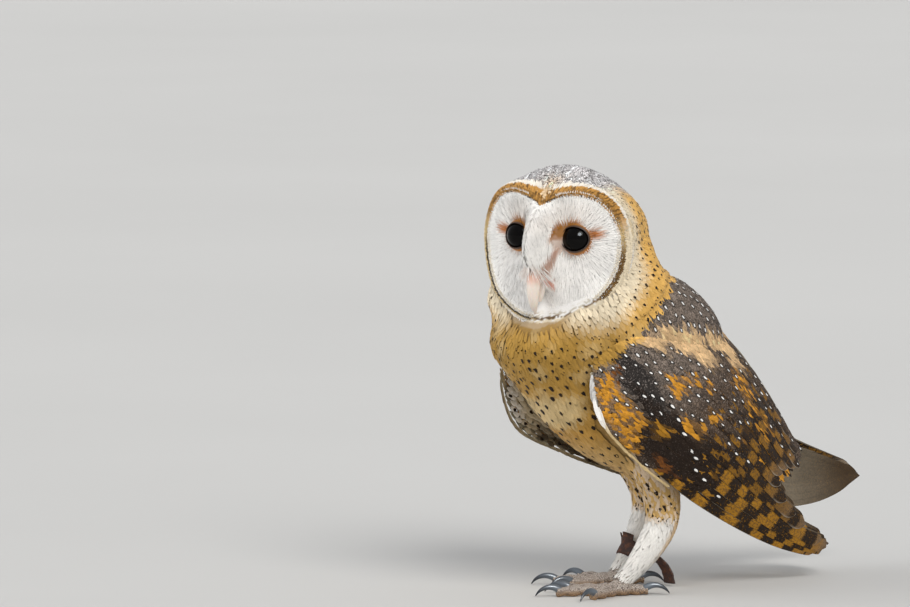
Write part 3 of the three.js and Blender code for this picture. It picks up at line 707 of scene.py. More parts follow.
class Coat:
    """Feathers of one piece, gathered as arrays and built into one mesh."""

    def __init__(self, name, material, patch=0.003):
        self.name, self.material, self.patch = name, material, patch
        self.groups = []

    def add(self, combed, width, kind="round", across=5, lift=(-0.5, 0.0), sag=1.3, thick=0.12, cup=0.1,
            fray=0.2, rounding=0.5, roll=0.08, unruly=0.1, puff=0.25, seed=0, root_tint=WHITE,
            tip_tint=WHITE, alt=OCHRE, tip_from=0.5, drop=0.0, dot=0.0, bars=-1.0, flecks=0.0,
            islands=None):
        """Adds feathers along combed centre lines.

        lift is the height over the guide at root and tip, cup how far the edges droop, fray how ragged
        the tip is, roll and unruly how much each one tilts and rises at random, puff how round the
        shading is, and the rest are markings.
        """
        rng = np.random.default_rng(seed)
        line, up, heading = combed
        count, rows = line.shape[:2]
        width = np.asarray(width, float)
        width = np.broadcast_to(width[:, None] if width.ndim == 1 else width, (count, rows))
        v = np.linspace(0, 1, rows)
        u = np.linspace(-1, 1, across)
        side = np.cross(up, heading)
        tilt = rng.normal(0, roll, count)[:, None, None]
        side, up = unit(side + up * tilt), unit(up - side * tilt)
        root_lift, tip_lift = (np.broadcast_to(x, count)[:, None] for x in lift)
        height = root_lift * (1 - v) ** sag + tip_lift * v + rng.normal(0, unruly, count)[:, None] * v
        centre = line + up * height[..., None]
        half = width / 2 * OUTLINES[kind](v)
        length = np.linalg.norm(np.diff(line, axis=1), axis=2).sum(1)
        back = rounding * half[:, :, None] * u**2 * (v**3)[:, None]
        ragged = rng.normal(0, fray, (count, across)) - fray * 0.7 * (np.arange(across) % 2)
        back = back - ragged[:, None] * half.max(1)[:, None, None] * (v**4)[:, None]
        top = centre[:, :, None] + side[:, :, None] * u[:, None] * half[..., None, None]
        top = top - heading[:, :, None] * back[..., None]
        top = top - up[:, :, None] * cup * half[..., None, None] * (u**2)[:, None]
        keel = centre - up * (thick * (1 - 0.6 * v))[:, None]
        verts = np.concatenate([top, keel[:, :, None]], 2)
        flat_u = np.concatenate([u, [0]])
        shading = unit(up[:, :, None] + puff * flat_u[:, None] * side[:, :, None])
        shape = (count, rows, across + 1)

        def stacked(a, b, c):
            return np.stack([np.broadcast_to(x, shape) for x in (a, b, c)], -1)

        marks = rng.random(count), flecks, drop, dot
        per_feather = [np.broadcast_to(x, count)[:, None, None] for x in marks]
        vane = stacked(flat_u, v[:, None], per_feather[0])
        lane = stacked(flat_u * half[..., None], v[:, None] * length[:, None, None], per_feather[1])
        bars = np.asarray(bars, float)
        bars = bars[..., None] if bars.ndim == 2 else np.broadcast_to(bars, count)[:, None, None]
        mark = stacked(per_feather[2], per_feather[3], bars)
        tints = root_tint, tip_tint, alt
        root_tint, tip_tint, alt = (np.broadcast_to(c, (count, 3))[:, None, None] for c in tints)
        share = ease(v, tip_from - 0.25, tip_from + 0.25)[:, None, None]
        tint = np.broadcast_to(root_tint * (1 - share) + tip_tint * share, (*shape, 3))
        alt = np.broadcast_to(alt, (*shape, 3))
        self.groups.append((verts, shading, vane, lane, mark, tint, alt, islands, line[:, 0]))

    def build(self, skin_places):
        """One mesh of all the feathers, each a closed vane with a keel below."""
        pieces = []
        offset = 0
        for verts, shading, vane, lane, mark, tint, alt, islands, roots in self.groups:
            count, rows, ring = verts.shape[:3]
            base = np.arange(ring)
            quads = np.stack([base, base + ring, np.roll(base, -1) + ring, np.roll(base, -1)], 1)
            step = np.arange(rows - 1)[:, None, None] * ring
            quads = (quads[None] + step).reshape(-1, 4)
            under = np.tile(base >= ring - 2, rows - 1)
            fan = np.stack([np.zeros(ring - 2, int), np.arange(1, ring - 1), np.arange(2, ring)], 1)
            caps = np.concatenate([fan, fan[:, ::-1] + (rows - 1) * ring])
            tris = np.concatenate([quads[:, [0, 1, 2]], quads[:, [0, 2, 3]], caps])
            under = np.concatenate([under, under, np.zeros(len(caps), bool)])
            under = np.tile(under, count)
            tris = (tris[None] + np.arange(count)[:, None, None] * rows * ring).reshape(-1, 3)
            loop_normals = shading.reshape(-1, 3)[tris] * np.where(under, -1, 1)[:, None, None]
            if islands is None:
                u0, v0 = skin_places(roots).T
                size_u = size_v = self.patch
            else:
                u0, v0, size_u, size_v = islands.T
            uv = np.empty((count, rows, ring, 2))
            keel_slip = np.where(np.arange(ring) == ring - 1, 0.04, 0)
            uv[..., 0] = u0[:, None, None] + vane[..., 0] * 0.5 * np.reshape(size_u, (-1, 1, 1))
            lengthwise = vane[..., 1] - 0.5 + keel_slip
            uv[..., 1] = v0[:, None, None] + lengthwise * np.reshape(size_v, (-1, 1, 1))
            flat = [x.reshape(-1, x.shape[-1]) for x in (verts, vane, lane, mark, tint, alt, uv)]
            pieces.append((tris + offset, loop_normals, flat))
            offset += count * rows * ring
        tris = np.concatenate([p[0] for p in pieces])
        loop_normals = np.concatenate([p[1] for p in pieces]).reshape(-1, 3)
        stacks = (np.concatenate([p[2][k] for p in pieces]) for k in range(7))
        verts, vane, lane, mark, tint, alt, uv = stacks
        mesh = bpy.data.meshes.new(self.name)
        mesh.vertices.add(len(verts))
        mesh.vertices.foreach_set("co", in_frame(verts).astype(np.float32).ravel())
        mesh.loops.add(tris.size)
        mesh.loops.foreach_set("vertex_index", tris.ravel().astype(np.int32))
        mesh.polygons.add(len(tris))
        mesh.polygons.foreach_set("loop_start", np.arange(0, tris.size, 3, dtype=np.int32))
        mesh.update(calc_edges=True)
        mesh.shade_smooth()
        mesh.normals_split_custom_set(loop_normals.tolist())
        layer = mesh.uv_layers.new(name="OFBake")
        layer.data.foreach_set("uv", uv[tris.ravel()].astype(np.float32).ravel())
        for name, values in (("vane", vane), ("lane", lane), ("mark", mark)):
            store = mesh.attributes.new(name, "FLOAT_VECTOR", "POINT")
            store.data.foreach_set("vector", values.astype(np.float32).ravel())
        for name, values in (("tint", tint), ("alt", alt)):
            store = mesh.attributes.new(name, "FLOAT_COLOR", "POINT")
            store.data.foreach_set("color", np.insert(values, 3, 1, axis=1).astype(np.float32).ravel())
        thing = bpy.data.objects.new(self.name, mesh)
        bpy.context.scene.collection.objects.link(thing)
        mesh.materials.append(self.material)
        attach(thing, "root")
        return thing


# ---------- materials ----------


def plumage(name, shaft=0.0, barb_period=0.9, variation=0.14, pale=SPOT_WHITE, sheen=0.15):
    """Feathers: a tint with a frayed tip, flecks, bars, a dark spot, a ringed drop, barbs and a shaft.

    The third mark is a bar count where it is 0 or more; below -1 it tells how strongly the tip takes the
    other tint. A negative drop is the strength of a pale fringe.
    """
    g = Graph(name, roughness=0.8, Sheen_Weight=sheen, Sheen_Roughness=0.5, Specular_IOR_Level=0.12)
    u, v, chance = g.split(g.attribute("vane"))
    across, along, flecks = g.split(g.attribute("lane"))
    drop, dot, bar = g.split(g.attribute("mark"))
    tint, alt = g.attribute("tint", 0), g.attribute("alt", 0)
    lane_seed = g.times(chance, 40.0)
    lined = g.node("ShaderNodeCombineXYZ", {0: g.times(across, 0.7), 1: g.times(along, 0.9), 2: lane_seed})
    streaky = g.node("ShaderNodeCombineXYZ", {0: g.times(across, 2.2), 1: g.times(along, 0.35), 2: lane_seed})
    grain, streak = g.noise(1.0, 3.0, 0.6, lined), g.noise(1.0, 2.0, 0.5, streaky)
    wave = g.plus(g.math("SINE", g.times(bar, 2 * math.pi)), g.swing(streak, 1.6))
    barred = g.times(g.step(wave, -0.4, 0.1), g.math("GREATER_THAN", bar, -0.5))
    frayed = g.plus(v, g.swing(streak, 0.9))
    strength = g.minus(-1.0, bar, clamp=True)
    tipped = g.times(g.step(frayed, 0.66, 0.84), strength)
    base = g.mix(g.math("MAXIMUM", barred, tipped), tint, alt)
    dark_fleck = g.times(g.step(grain, 0.5, 0.58), flecks)
    pale_fleck = g.times(g.step(grain, 0.42, 0.36), flecks)
    base = g.mix(g.times(dark_fleck, 0.75, clamp=True), base, (*CHARCOAL, 1))
    base = g.mix(g.times(pale_fleck, 0.5, clamp=True), base, (*pale, 1))
    length = g.math("DIVIDE", along, g.math("MAXIMUM", v, 0.05))
    ragged = g.swing(streak, 0.9)
    back = g.plus(g.times(g.minus(1.0, v), length), ragged)
    size = g.math("MAXIMUM", dot, 0.001)
    spot = g.oval(across, g.minus(back, 1.7), g.times(size, 0.95), g.times(size, 1.3))
    spot = g.plus(spot, g.swing(grain, 1.4))
    base = g.mix(g.step(spot, 1.2, 0.85), base, (*DOT_BROWN, 1))
    size = g.math("MAXIMUM", drop, 0.001)
    pearl = g.oval(across, g.minus(back, 2.4), g.times(size, 0.55), g.times(size, 1.45))
    base = g.mix(g.step(pearl, 2.1, 1.5), base, (*CHARCOAL * 0.4, 1))
    base = g.mix(g.step(pearl, 1.1, 0.8), base, (*SPOT_WHITE, 1))
    edge = g.math("MAXIMUM", g.step(g.math("ABSOLUTE", u), 0.72, 1.0), g.step(v, 0.955, 1.0))
    fringe = g.times(g.times(edge, g.step(v, 0.7, 0.85)), g.times(drop, -1.0), clamp=True)
    base = g.mix(fringe, base, (*PALE_EDGE, 1))
    off_shaft = g.math("ABSOLUTE", g.minus(u, shaft))
    quill = g.times(g.step(off_shaft, 0.1, 0.02), g.step(v, 0.9, 0.5))
    base = g.mix(g.times(quill, 0.2), base, (*CHARCOAL, 1))
    slant = g.plus(g.math("ABSOLUTE", across), along)
    barbs = g.math("SINE", g.times(slant, 2 * math.pi / barb_period))
    patch = g.noise(70.0, 3.0, 0.55)
    light = g.plus(g.swing(chance, variation), g.swing(patch, 0.45))
    light = g.plus(light, g.swing(streak, 0.3))
    light = g.plus(g.plus(light, 1.0), g.times(barbs, 0.03))
    g.colour(g.node("ShaderNodeHueSaturation", {"Color": base, "Value": light}))
    g.put(g.shader.inputs["Roughness"], g.step(grain, 0.2, 0.8, 0.72, 0.9))
    g.bump(g.plus(g.times(barbs, 0.4), g.plus(quill, streak)), 0.0001, 0.5)
    return g.material


def painted(name, grain_scale, bump_depth, roughness, spread=0.25, **constants):
    """A surface tinted at its points, with fine and broad variation."""
    g = Graph(name, roughness=roughness, **constants)
    tint = g.attribute("tint", 0)
    fine, broad = g.noise(grain_scale, 4.0, 0.6), g.noise(grain_scale / 9, 2.0)
    light = g.plus(g.swing(fine, spread), g.swing(broad, spread))
    g.colour(g.node("ShaderNodeHueSaturation", {"Color": tint, "Value": g.plus(light, 1.0)}))
    low, high = max(0.02, roughness - 0.08), min(1, roughness + 0.08)
    g.put(g.shader.inputs["Roughness"], g.step(fine, 0.3, 0.7, low, high))
    g.bump(fine, bump_depth)
    return g.material


def scaly(name):
    """Toe skin: small plates with dark gaps over a tinted skin."""
    g = Graph(name, roughness=0.55, Specular_IOR_Level=0.4)
    tint = g.attribute("tint", 0)
    gaps = g.cells(900.0, "DISTANCE_TO_EDGE")
    plates = g.step(gaps, 0.02, 0.16)
    fine = g.noise(2500.0, 3.0)
    shade = g.mix(plates, (*srgb(92, 76, 66), 1), tint)
    light = g.plus(g.swing(fine, 0.3), 1.0)
    g.colour(g.node("ShaderNodeHueSaturation", {"Color": shade, "Value": light}))
    g.put(g.shader.inputs["Roughness"], g.step(fine, 0.3, 0.7, 0.45, 0.65))
    g.bump(g.plus(plates, g.times(fine, 0.3)), 0.00025)
    return g.material


def eye_black():
    """A wet black eyeball with faint brown in it."""
    g = Graph("eye_black", roughness=0.06, IOR=1.2)
    flaw = g.noise(300.0, 3.0)
    g.colour(g.mix(flaw, (*srgb(3, 3, 3), 1), (*srgb(12, 9, 7), 1)))
    g.put(g.shader.inputs["Roughness"], g.step(flaw, 0.3, 0.7, 0.04, 0.09))
    g.bump(flaw, 0.00002, 0.3)
    return g.material


def floor_paper():
    """The studio's pale floor."""
    g = Graph("floor_paper", roughness=0.85)
    broad = g.noise(1.5, 3.0)
    g.colour(g.mix(broad, (*srgb(200, 199, 196), 1), (*srgb(208, 207, 204), 1)))
    g.bump(g.noise(900.0, 2.0), 0.00005)
    return g.material


def tint_points(thing, colours):
    """Stores a colour at each point, for the material to read."""
    mesh = thing.data
    store = mesh.attributes.new("tint", "FLOAT_COLOR", "POINT")
    store.data.foreach_set("color", np.insert(colours, 3, 1, axis=1).astype(np.float32).ravel())


def unwrap(thing):
    """The bake map: an automatic unwrap of the piece's own shape."""
    bpy.ops.object.select_all(action="DESELECT")
    bpy.context.view_layer.objects.active = thing
    thing.select_set(True)
    thing.data.uv_layers.new(name="OFBake")
    bpy.ops.object.mode_set(mode="EDIT")
    bpy.ops.mesh.select_all(action="SELECT")
    bpy.ops.uv.smart_project(angle_limit=math.radians(66), island_margin=0.004)
    bpy.ops.object.mode_set(mode="OBJECT")


# ---------- the tracts' guides ----------


def rows_and_columns(rows, columns, wrap, low=0.0, high=1.0):
    """Grid numbers: rows from low to high, columns from 0 to 1, or from 0 to 2 half turns round."""
    r = np.linspace(low, high, rows)[:, None]
    c = np.linspace(0, 2, columns + 1)[:-1] if wrap else np.linspace(0, 1, columns)
    return r, c[None]


HEAD_MIDDLE = HEAD_AT - 35 * HEAD_AHEAD - 5 * UP
NAPE_END = 0.985
DISC_START = -0.97
HEAD_COLUMNS = 200


def disc_surface():
    """The face's guide and its grid of points."""
    back, turn = rows_and_columns(90, HEAD_COLUMNS, True, DISC_START, 0.0)
    points = head_point(turn, back)
    return grid_guide(points, back, turn, True, HEAD_AHEAD), points


disc_guide, disc_grid = disc_surface()


def head_solid(depth=0.0):
    """The whole head as a closed tube, its face lowered by a depth."""
    back, turn = rows_and_columns(110, HEAD_COLUMNS, True, 0.0, NAPE_END)
    rear = head_point(turn, back)
    face = disc_grid[:-1] - disc_guide.normals.reshape(disc_grid.shape)[:-1] * depth
    return closed_tube(np.concatenate([face, rear]))


def leg_tube(side, depth=0.0, start=0.0, end=1.0):
    """Rings round a leg, some way under its surface."""
    along, turn = rows_and_columns(110, 40, True, start, end)
    radius = LEG_RADIUS(along)[..., 0] - depth
    return tube_point(smooth(LEG_PATHS[side]), radius, along, turn)


def quads_of(mesh):
    """The vertex numbers of a mesh that has only four-sided faces."""
    faces = np.empty(len(mesh.loops), np.int32)
    mesh.loops.foreach_get("vertex_index", faces)
    return faces.reshape(-1, 4)


def filled_hollows(points, faces, weight, rounds):
    """Points moved outwards where the surface is hollow, as plumage bridges a crease, never inwards."""
    ends = np.concatenate([faces[:, [0, 1]], faces[:, [1, 2]], faces[:, [2, 3]], faces[:, [3, 0]]])
    degree = np.maximum(1, np.bincount(ends[:, 0], minlength=len(points)))[:, None]
    soft = points.copy()
    for _ in range(rounds):
        sums = [np.bincount(ends[:, 0], soft[ends[:, 1], k], len(points)) for k in range(3)]
        mean = np.stack(sums, 1) / degree
        soft = soft + (mean - soft) * 0.9 * weight[:, None]
        normals = point_normals(soft, faces)
        out = ((soft - points) * normals).sum(1, keepdims=True)
        soft = np.where(out > 0, soft, points * 0.6 + soft * 0.4)
    return soft


def behind_hood(at):
    """How far a place lies behind the hood's lower edge, in mm, and negative on the hood."""
    x, y, z = at.T
    border = np.interp(z, [60, 150, 170, 183, 197, 213, 230], [70, 50, 0, -30, -10, 4, 16])
    return y - border - 26 * np.clip(1 - (x / 56) ** 2, 0, 1) * ease(z, 185, 205)


HOOD_SWELL = 2.5  # how far the hood's loose feathers stand over the mantle at its edge


def torso_surface():
    """The head, neck, trunk and thighs as one surface, with the hood's crease filled."""
    back_body, turn_body = rows_and_columns(150, 120, True, 0.0, 1.0)
    throat = THROAT_AT + np.stack(ball_rings(20, 32), -1) * THROAT_REACH
    parts = [head_solid(), closed_tube(body_point(turn_body, back_body)), closed_tube(throat)]
    parts += [closed_tube(leg_tube(side, 0.0, 0.0, 0.5)) for side in (1, -1)]
    thing = fuse("torso_guide", parts, 2.2, 1)
    points, faces = owl_points(thing.data), quads_of(thing.data)
    bpy.data.objects.remove(thing)
    _, _, face_gap = disc_guide.nearest(points)
    bridged = ease(face_gap, 3, 9) * (1 - 0.8 * ease(points[:, 1], -30, 0))
    points = filled_hollows(points, faces, bridged, 60)
    past = behind_hood(points)
    swell = (HOOD_SWELL * ease(past, 1, -2) * ease(past, -45, -15)
             * ease(points[:, 1], -40, -10) * ease(points[:, 2], 170, 190))
    points = points + point_normals(points, faces) * swell[:, None]
    return Guide(points, faces, np.zeros((len(points), 2)))


torso_guide = torso_surface()


def wing_surface(side):
    """The guide of a wing's outer face."""
    along, across = rows_and_columns(160, 60, False)
    return grid_guide(wing_point(side, along, across), along, across, False, np.array([side, 0, 0]))


def wing_inner_surface(side):
    """The guide of the side of a wing that faces the body."""
    along, across = rows_and_columns(120, 40, False)
    edge = np.minimum(1, 0.35 + 2.6 * np.minimum(across, 1 - across))
    inwards = np.array([side, 0, 0]) * (wing_thick(side, along) * edge)[..., None]
    inner = wing_point(side, along, across) - inwards
    return grid_guide(inner, along, across, False, np.array([-side, 0, 0]))


def leg_surface(side):
    """The guide of a leg."""
    along, turn = rows_and_columns(110, 40, True)
    points = leg_tube(side)
    out = (points - points.mean(1, keepdims=True)).reshape(-1, 3)
    return grid_guide(points, along, turn, True, out)


wing_guides = {side: wing_surface(side) for side in (1, -1)}
inner_guides = {side: wing_inner_surface(side) for side in (1, -1)}
leg_guides = {side: leg_surface(side) for side in (1, -1)}


def covered(points, guide, depth, reach=30.0):
    """Which points lie deeper than depth straight below a guide's surface."""
    at, normal, gap = guide.nearest(points)
    below = ((at - points) * normal).sum(1)
    return (below > depth) & (gap < reach) & (below > 0.93 * gap)


# ---------- skin ----------

COAT_DEPTH = 1.7  # from the feathers' tips down to the skin on the body and head


def add_skin():
    """One skin for all the flesh, just under the plumage."""
    _, _, face_gap = disc_guide.nearest(torso_guide.points)
    depth = 0.8 + (COAT_DEPTH - 0.8) * ease(face_gap, 0.5, 5)
    parts = [(torso_guide.points - torso_guide.normals * depth[:, None], torso_guide.faces.tolist())]
    for side in (1, -1):
        along, across = np.linspace(0.03, 0.62, 60)[:, None], np.linspace(0.07, 0.93, 24)[None]
        outer = wing_point(side, along, across)
        outwards = np.array([side, 0, 0])
        deep = np.maximum(1.2, 0.35 * wing_thick(side, along))[..., None]
        parts.append(closed_plate(outer - outwards * deep, outer - outwards * (deep + 1.6)))
        depth = np.interp(np.linspace(0, 1, 110), [0, 0.45, 0.6, 1], [2.4, 2.0, 1.2, 0.7])[:, None]
        parts.append(closed_tube(leg_tube(side, depth)))
    along, across = np.linspace(0.0, 0.6, 30)[:, None], np.linspace(0.1, 0.9, 20)[None]
    top = tail_point(along, across) - UP * 1.5
    parts.append(closed_plate(top, top - UP * 1.5))
    skin = fuse("skin", parts, 1.7, 2)
    nodes = ["head", "neck", "trunk", "wing_left", "wing_right", "tail", "thigh_left", "thigh_right"]
    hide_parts(*nodes, "shank_left", "shank_right")
    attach(skin, "root")
    return skin


def skin_map(skin):
    """A function from points to their places on the skin's bake map."""
    mesh = skin.data
    mesh.calc_loop_triangles()
    corners = owl_points(mesh)
    triangles = np.array([t.vertices[:] for t in mesh.loop_triangles])
    loops = np.array([t.loops[:] for t in mesh.loop_triangles])
    uv = np.empty(len(mesh.loops) * 2)
    mesh.uv_layers["OFBake"].data.foreach_get("uv", uv)
    uv = uv.reshape(-1, 2)
    tree = BVHTree.FromPolygons(corners.tolist(), triangles.tolist())

    def places(points):
        found = [tree.find_nearest(p) for p in points.tolist()]
        index = np.array([f[2] for f in found])
        at = np.array([f[0] for f in found])
        a, b, c = corners[triangles[index]].transpose(1, 0, 2)
        ab, ac, ap = b - a, c - a, at - a
        d00, d01, d11 = (ab * ab).sum(1), (ab * ac).sum(1), (ac * ac).sum(1)
        d20, d21 = (ap * ab).sum(1), (ap * ac).sum(1)
        size = np.maximum(d00 * d11 - d01 * d01, 1e-12)
        wb = (d11 * d20 - d01 * d21) / size
        wc = (d00 * d21 - d01 * d20) / size
        corner = uv[loops[index]]
        shares = 1 - wb - wc, wb, wc
        return sum(corner[:, k] * share[:, None] for k, share in enumerate(shares))

    return places


def paint_skin(skin, coats):
    """The skin takes a darker tint of the nearest feather."""
    roots = np.concatenate([g[8] for c in coats for g in c.groups])
    tints = np.concatenate([g[5][:, 0, 0] for c in coats for g in c.groups])
    tree = KDTree(len(roots))
    for i, p in enumerate(roots.tolist()):
        tree.insert(p, i)
    tree.balance()
    nearest = np.array([tree.find(p)[1] for p in owl_points(skin.data).tolist()])
    tint_points(skin, tints[nearest] * 0.8)


# ---------- plumage ----------

PLUMAGE = {
    "head": plumage("head_feathers", variation=0.1, sheen=0.1),
    "disc": plumage("face_filaments", variation=0.06),
    "body": plumage("body_feathers", variation=0.1, sheen=0.1),
    "wing": plumage("wing_feathers", pale=PALE_FLECK, sheen=0.04),
    "flight": plumage("flight_feathers", shaft=-0.4, barb_period=1.1, pale=STRIP_OCHRE, sheen=0.04),
    "leg": plumage("leg_feathers", variation=0.06),
}
BODY_FLOW = np.array([0, 0.55, -0.83])
HEAD_FLOW = -0.8 * HEAD_AHEAD - 0.6 * UP
WING_FLOW = np.array([0, 0.79, -0.61])


def chance(count, seed):
    """Random numbers from 0 to 1."""
    return np.random.default_rng(seed).random(count)


def oval(x, y, middle_x, middle_y, half_x, half_y, soft=0.5):
    """1 in the middle of an oval and 0 outside it."""
    return 1 - ease(np.hypot((x - middle_x) / half_x, (y - middle_y) / half_y), soft, 1.15)


# Patches of a folded wing: place along and across it, half sizes, colour.
WING_PATCHES = [
    (0.205, 0.32, 0.12, 0.11, CHARCOAL), (0.45, 0.16, 0.19, 0.17, BLACK_BROWN),
    (0.30, 0.27, 0.1, 0.05, BLACK_BROWN), (0.54, 0.36, 0.14, 0.08, BLACK_BROWN),
    (0.58, 0.68, 0.13, 0.24, UMBER), (0.15, 0.65, 0.08, 0.08, PEACH), (0.25, 0.78, 0.095, 0.085, PEACH),
    (0.35, 0.92, 0.07, 0.055, PEACH), (0.42, 0.82, 0.03, 0.06, OCHRE), (0.465, 0.77, 0.03, 0.04, OCHRE),
    (0.507, 0.76, 0.022, 0.05, OCHRE), (0.288, 0.49, 0.03, 0.07, OCHRE),
    (0.31, 0.595, 0.018, 0.035, OCHRE), (0.351, 0.65, 0.018, 0.03, OCHRE),
    (0.372, 0.36, 0.032, 0.05, OCHRE), (0.396, 0.486, 0.018, 0.035, OCHRE),
    (0.15, 0.205, 0.025, 0.06, RED_BROWN), (0.18, 0.085, 0.035, 0.09, OCHRE),
    (0.22, 0.10, 0.04, 0.10, OCHRE), (0.27, 0.10, 0.035, 0.10, OCHRE),
    (0.326, 0.215, 0.025, 0.04, STRIP_OCHRE), (0.315, 0.055, 0.03, 0.06, OCHRE),
    (0.41, 0.06, 0.045, 0.04, RED_BROWN), (0.49, 0.24, 0.035, 0.03, STRIP_OCHRE),
    (0.486, 0.5, 0.02, 0.04, OCHRE),
]
LOW_DROPS = [
    (0.30, 0.36), (0.33, 0.33), (0.36, 0.28), (0.40, 0.25), (0.42, 0.21), (0.44, 0.17), (0.47, 0.15),
    (0.524, 0.12),
]
CHECK_LENGTH, CHECK_HEIGHT = 0.062, 0.15  # of one dark and one ochre block, along and across the wing


def wing_pattern(s, t, seed):
    """Ground colour, tip colour and its strength, flecks and room for drops on a wing's coverts."""
    luck = chance(len(s), seed + 1)
    colours = blend(MANTLE_GREY, COVERT_BROWN, ease(s, 0.24, 0.4)) * (0.75 + 0.5 * luck)[:, None]
    warm = np.zeros(len(s))
    jitter = np.random.default_rng(seed).normal(0, 0.006, (2, len(s)))
    s = s + jitter[0] + 0.008 * np.sin(47 * t + 11 * s)
    t = t + jitter[1] * 1.6 + 0.016 * np.sin(61 * s + 9 * t)
    for at_s, at_t, half_s, half_t, colour in WING_PATCHES:
        share = oval(s, t, at_s, at_t, half_s, half_t, 0.75)
        is_warm = colour[0] > 1.6 * colour[2] and colour[0] > 0.1
        share = share * (1 - 0.75 * (colour is not PEACH) * is_warm * (luck < 0.4))
        colours = blend(colours, colour * (0.85 + 0.3 * luck)[:, None], share)
        warm = np.maximum(warm, share) if is_warm else warm * (1 - share)
    checks = ease(s, 0.45, 0.49) * ease(t, 0.40, 0.45) * ease(t, 0.80, 0.74)
    row = np.floor(2 * t / CHECK_HEIGHT + 0.3 * np.sin(37 * s))
    turn = s / CHECK_LENGTH + 0.37 * row + 0.15 * np.sin(5 * row) + 0.2 * np.sin(29 * t + 13 * s)
    missing = np.sin(12.9 * np.floor(turn) + 7.1 * row) > 0.35
    ochre_block = ease(np.sin(2 * math.pi * turn), 0.0, 0.4) * (1 - 0.9 * missing)
    colours = blend(colours, blend(UMBER, OCHRE * (0.8 + 0.35 * luck)[:, None], ochre_block), checks)
    warm = np.maximum(warm * (1 - checks), checks * ochre_block)
    dark = np.maximum(oval(s, t, 0.45, 0.2, 0.22, 0.24), checks)
    tip = blend(colours * 0.6, UMBER, 0.5 * dark * (1 - warm))
    tip_share = np.maximum(0.3 + 0.5 * luck, 0.8 * checks)
    return colours, tip, tip_share, (1 - 0.75 * warm) * (1.0 - 0.75 * dark), (1 - warm) * (1 - 0.9 * dark)


def wing_place(at):
    """Nearest places on the wings, as along and across, and their distances."""
    best, place = np.full(len(at), 1e9), np.zeros((len(at), 2))
    for guide in wing_guides.values():
        found = [guide.tree.find_nearest(p) for p in at.tolist()]
        index, gap = (np.array([f[k] for f in found]) for k in (2, 3))
        nearer = gap < best
        place[nearer] = guide.places[guide.faces[index[nearer]]].mean(1)
        best = np.minimum(best, gap)
    return place[:, 0], place[:, 1], best


def torso_roots(spacing, seed):
    """Roots over the head, neck, trunk and thighs, apart from the face and what the wings cover."""
    at, normal, _ = torso_guide.scatter(spacing, seed)
    _, _, face_gap = disc_guide.nearest(at)
    chin = np.exp(-(((head_local(at)[0] - 4) / 22) ** 2)) * (at[:, 2] < HEAD_AT[2] - 30)
    under_wing = covered(at, wing_guides[1], 8) | (covered(at, wing_guides[-1], 8) & (at[:, 2] > 120))
    keep = (face_gap > 2.5 + 4.5 * chin) & ~under_wing
    return at[keep], normal[keep], face_gap[keep]


def torso_flow(at):
    """The way the feathers of the head and body point."""
    low = ease(HEAD_AT[2] - at[:, 2], 20, 60)[:, None]
    return HEAD_FLOW * (1 - low) + BODY_FLOW * low


def hood_colours(at, face_gap):
    """Tints of the crown, hood and throat, with painted shade under the chin, and how grey each place is."""
    x, _, z = head_local(at)
    grey = ease(z, 26, 34) * ease(face_gap, 5, 8) * (1 - 0.85 * ease(np.abs(x + 1), 32, 45))
    # Below the chin the throat is golden and darkened as painted shade where the chin's shadow falls, so the
    # cheeks' cream stops there.
    shaded_throat = oval(x, z, 2, -72, 34, 22)
    near_face = (1 - ease(face_gap, 9, 24)) * (1 - shaded_throat)
    colours = blend(blend(GOLDEN, CREAM, near_face), CROWN_GREY, grey)
    colours = blend(colours, blend(BREAST_SHADED, CREAM, 0.3), 0.8 * shaded_throat)
    forehead = np.exp(-((x / 8) ** 2)) * ease(z, 15, 25) * (1 - ease(face_gap, 10, 24))
    return blend(colours, PEACH, 0.75 * forehead), grey


def trunk_colours(at):
    """Tints of the breast, flank and belly, with soft pale patches; the breast's tint carries painted shade.
    """
    x, y, z = at.T
    front = blend(BREAST_SHADED, BELLY, ease(z, 165, 115))
    ripple = np.sin(x / 6.5 + z / 9 + 2) * np.sin(y / 8 - z / 7) + 0.5 * np.sin(x / 3.1 - z / 4.3)
    pale = ease(ripple, 0.3, 1.1)
    front = blend(front, PALE_BREAST, 0.4 * pale * ease(z, 120, 140))
    front = blend(front, PALE_BREAST, 0.85 * oval(y, z, -62, 130, 17, 18))
    front = blend(front, PALE_BREAST, 0.35 * ease(z, 120, 95))
    return front


def picked(part, *arrays):
    """The same part of several arrays."""
    return [a[part] for a in arrays]


def add_spotted(coat, guide, roots, seed, **marks):
    """Broader feathers that lie on top of the rest and carry one spot each.

    roots holds their places, normals, headings, lengths, widths and colours.
    """
    at, normal, flow, length, width, colours = roots
    combed = comb(guide, at, normal, flow, length, 4, seed)
    coat.add(combed, width, across=5, lift=(-0.4, 0.25), rounding=0.8, seed=seed + 1,
             root_tint=colours, tip_tint=colours, **marks)


def torso_tints(at, face_gap, mantle):
    """Ground colour and, on the mantle, the tip colour, its strength, flecks and room for drops."""
    colours, grey = hood_colours(at, face_gap)
    low = ease(HEAD_AT[2] - at[:, 2], 44, 64)
    colours = blend(colours, trunk_colours(at), low)
    s, t, wing_gap = wing_place(at)
    ground, tip, tip_share, flecks, room = wing_pattern(s, t, 14)
    ground = blend(MANTLE_GREY, ground, ease(wing_gap, 26, 16))
    return blend(colours, ground, mantle), grey, tip, tip_share, flecks, room


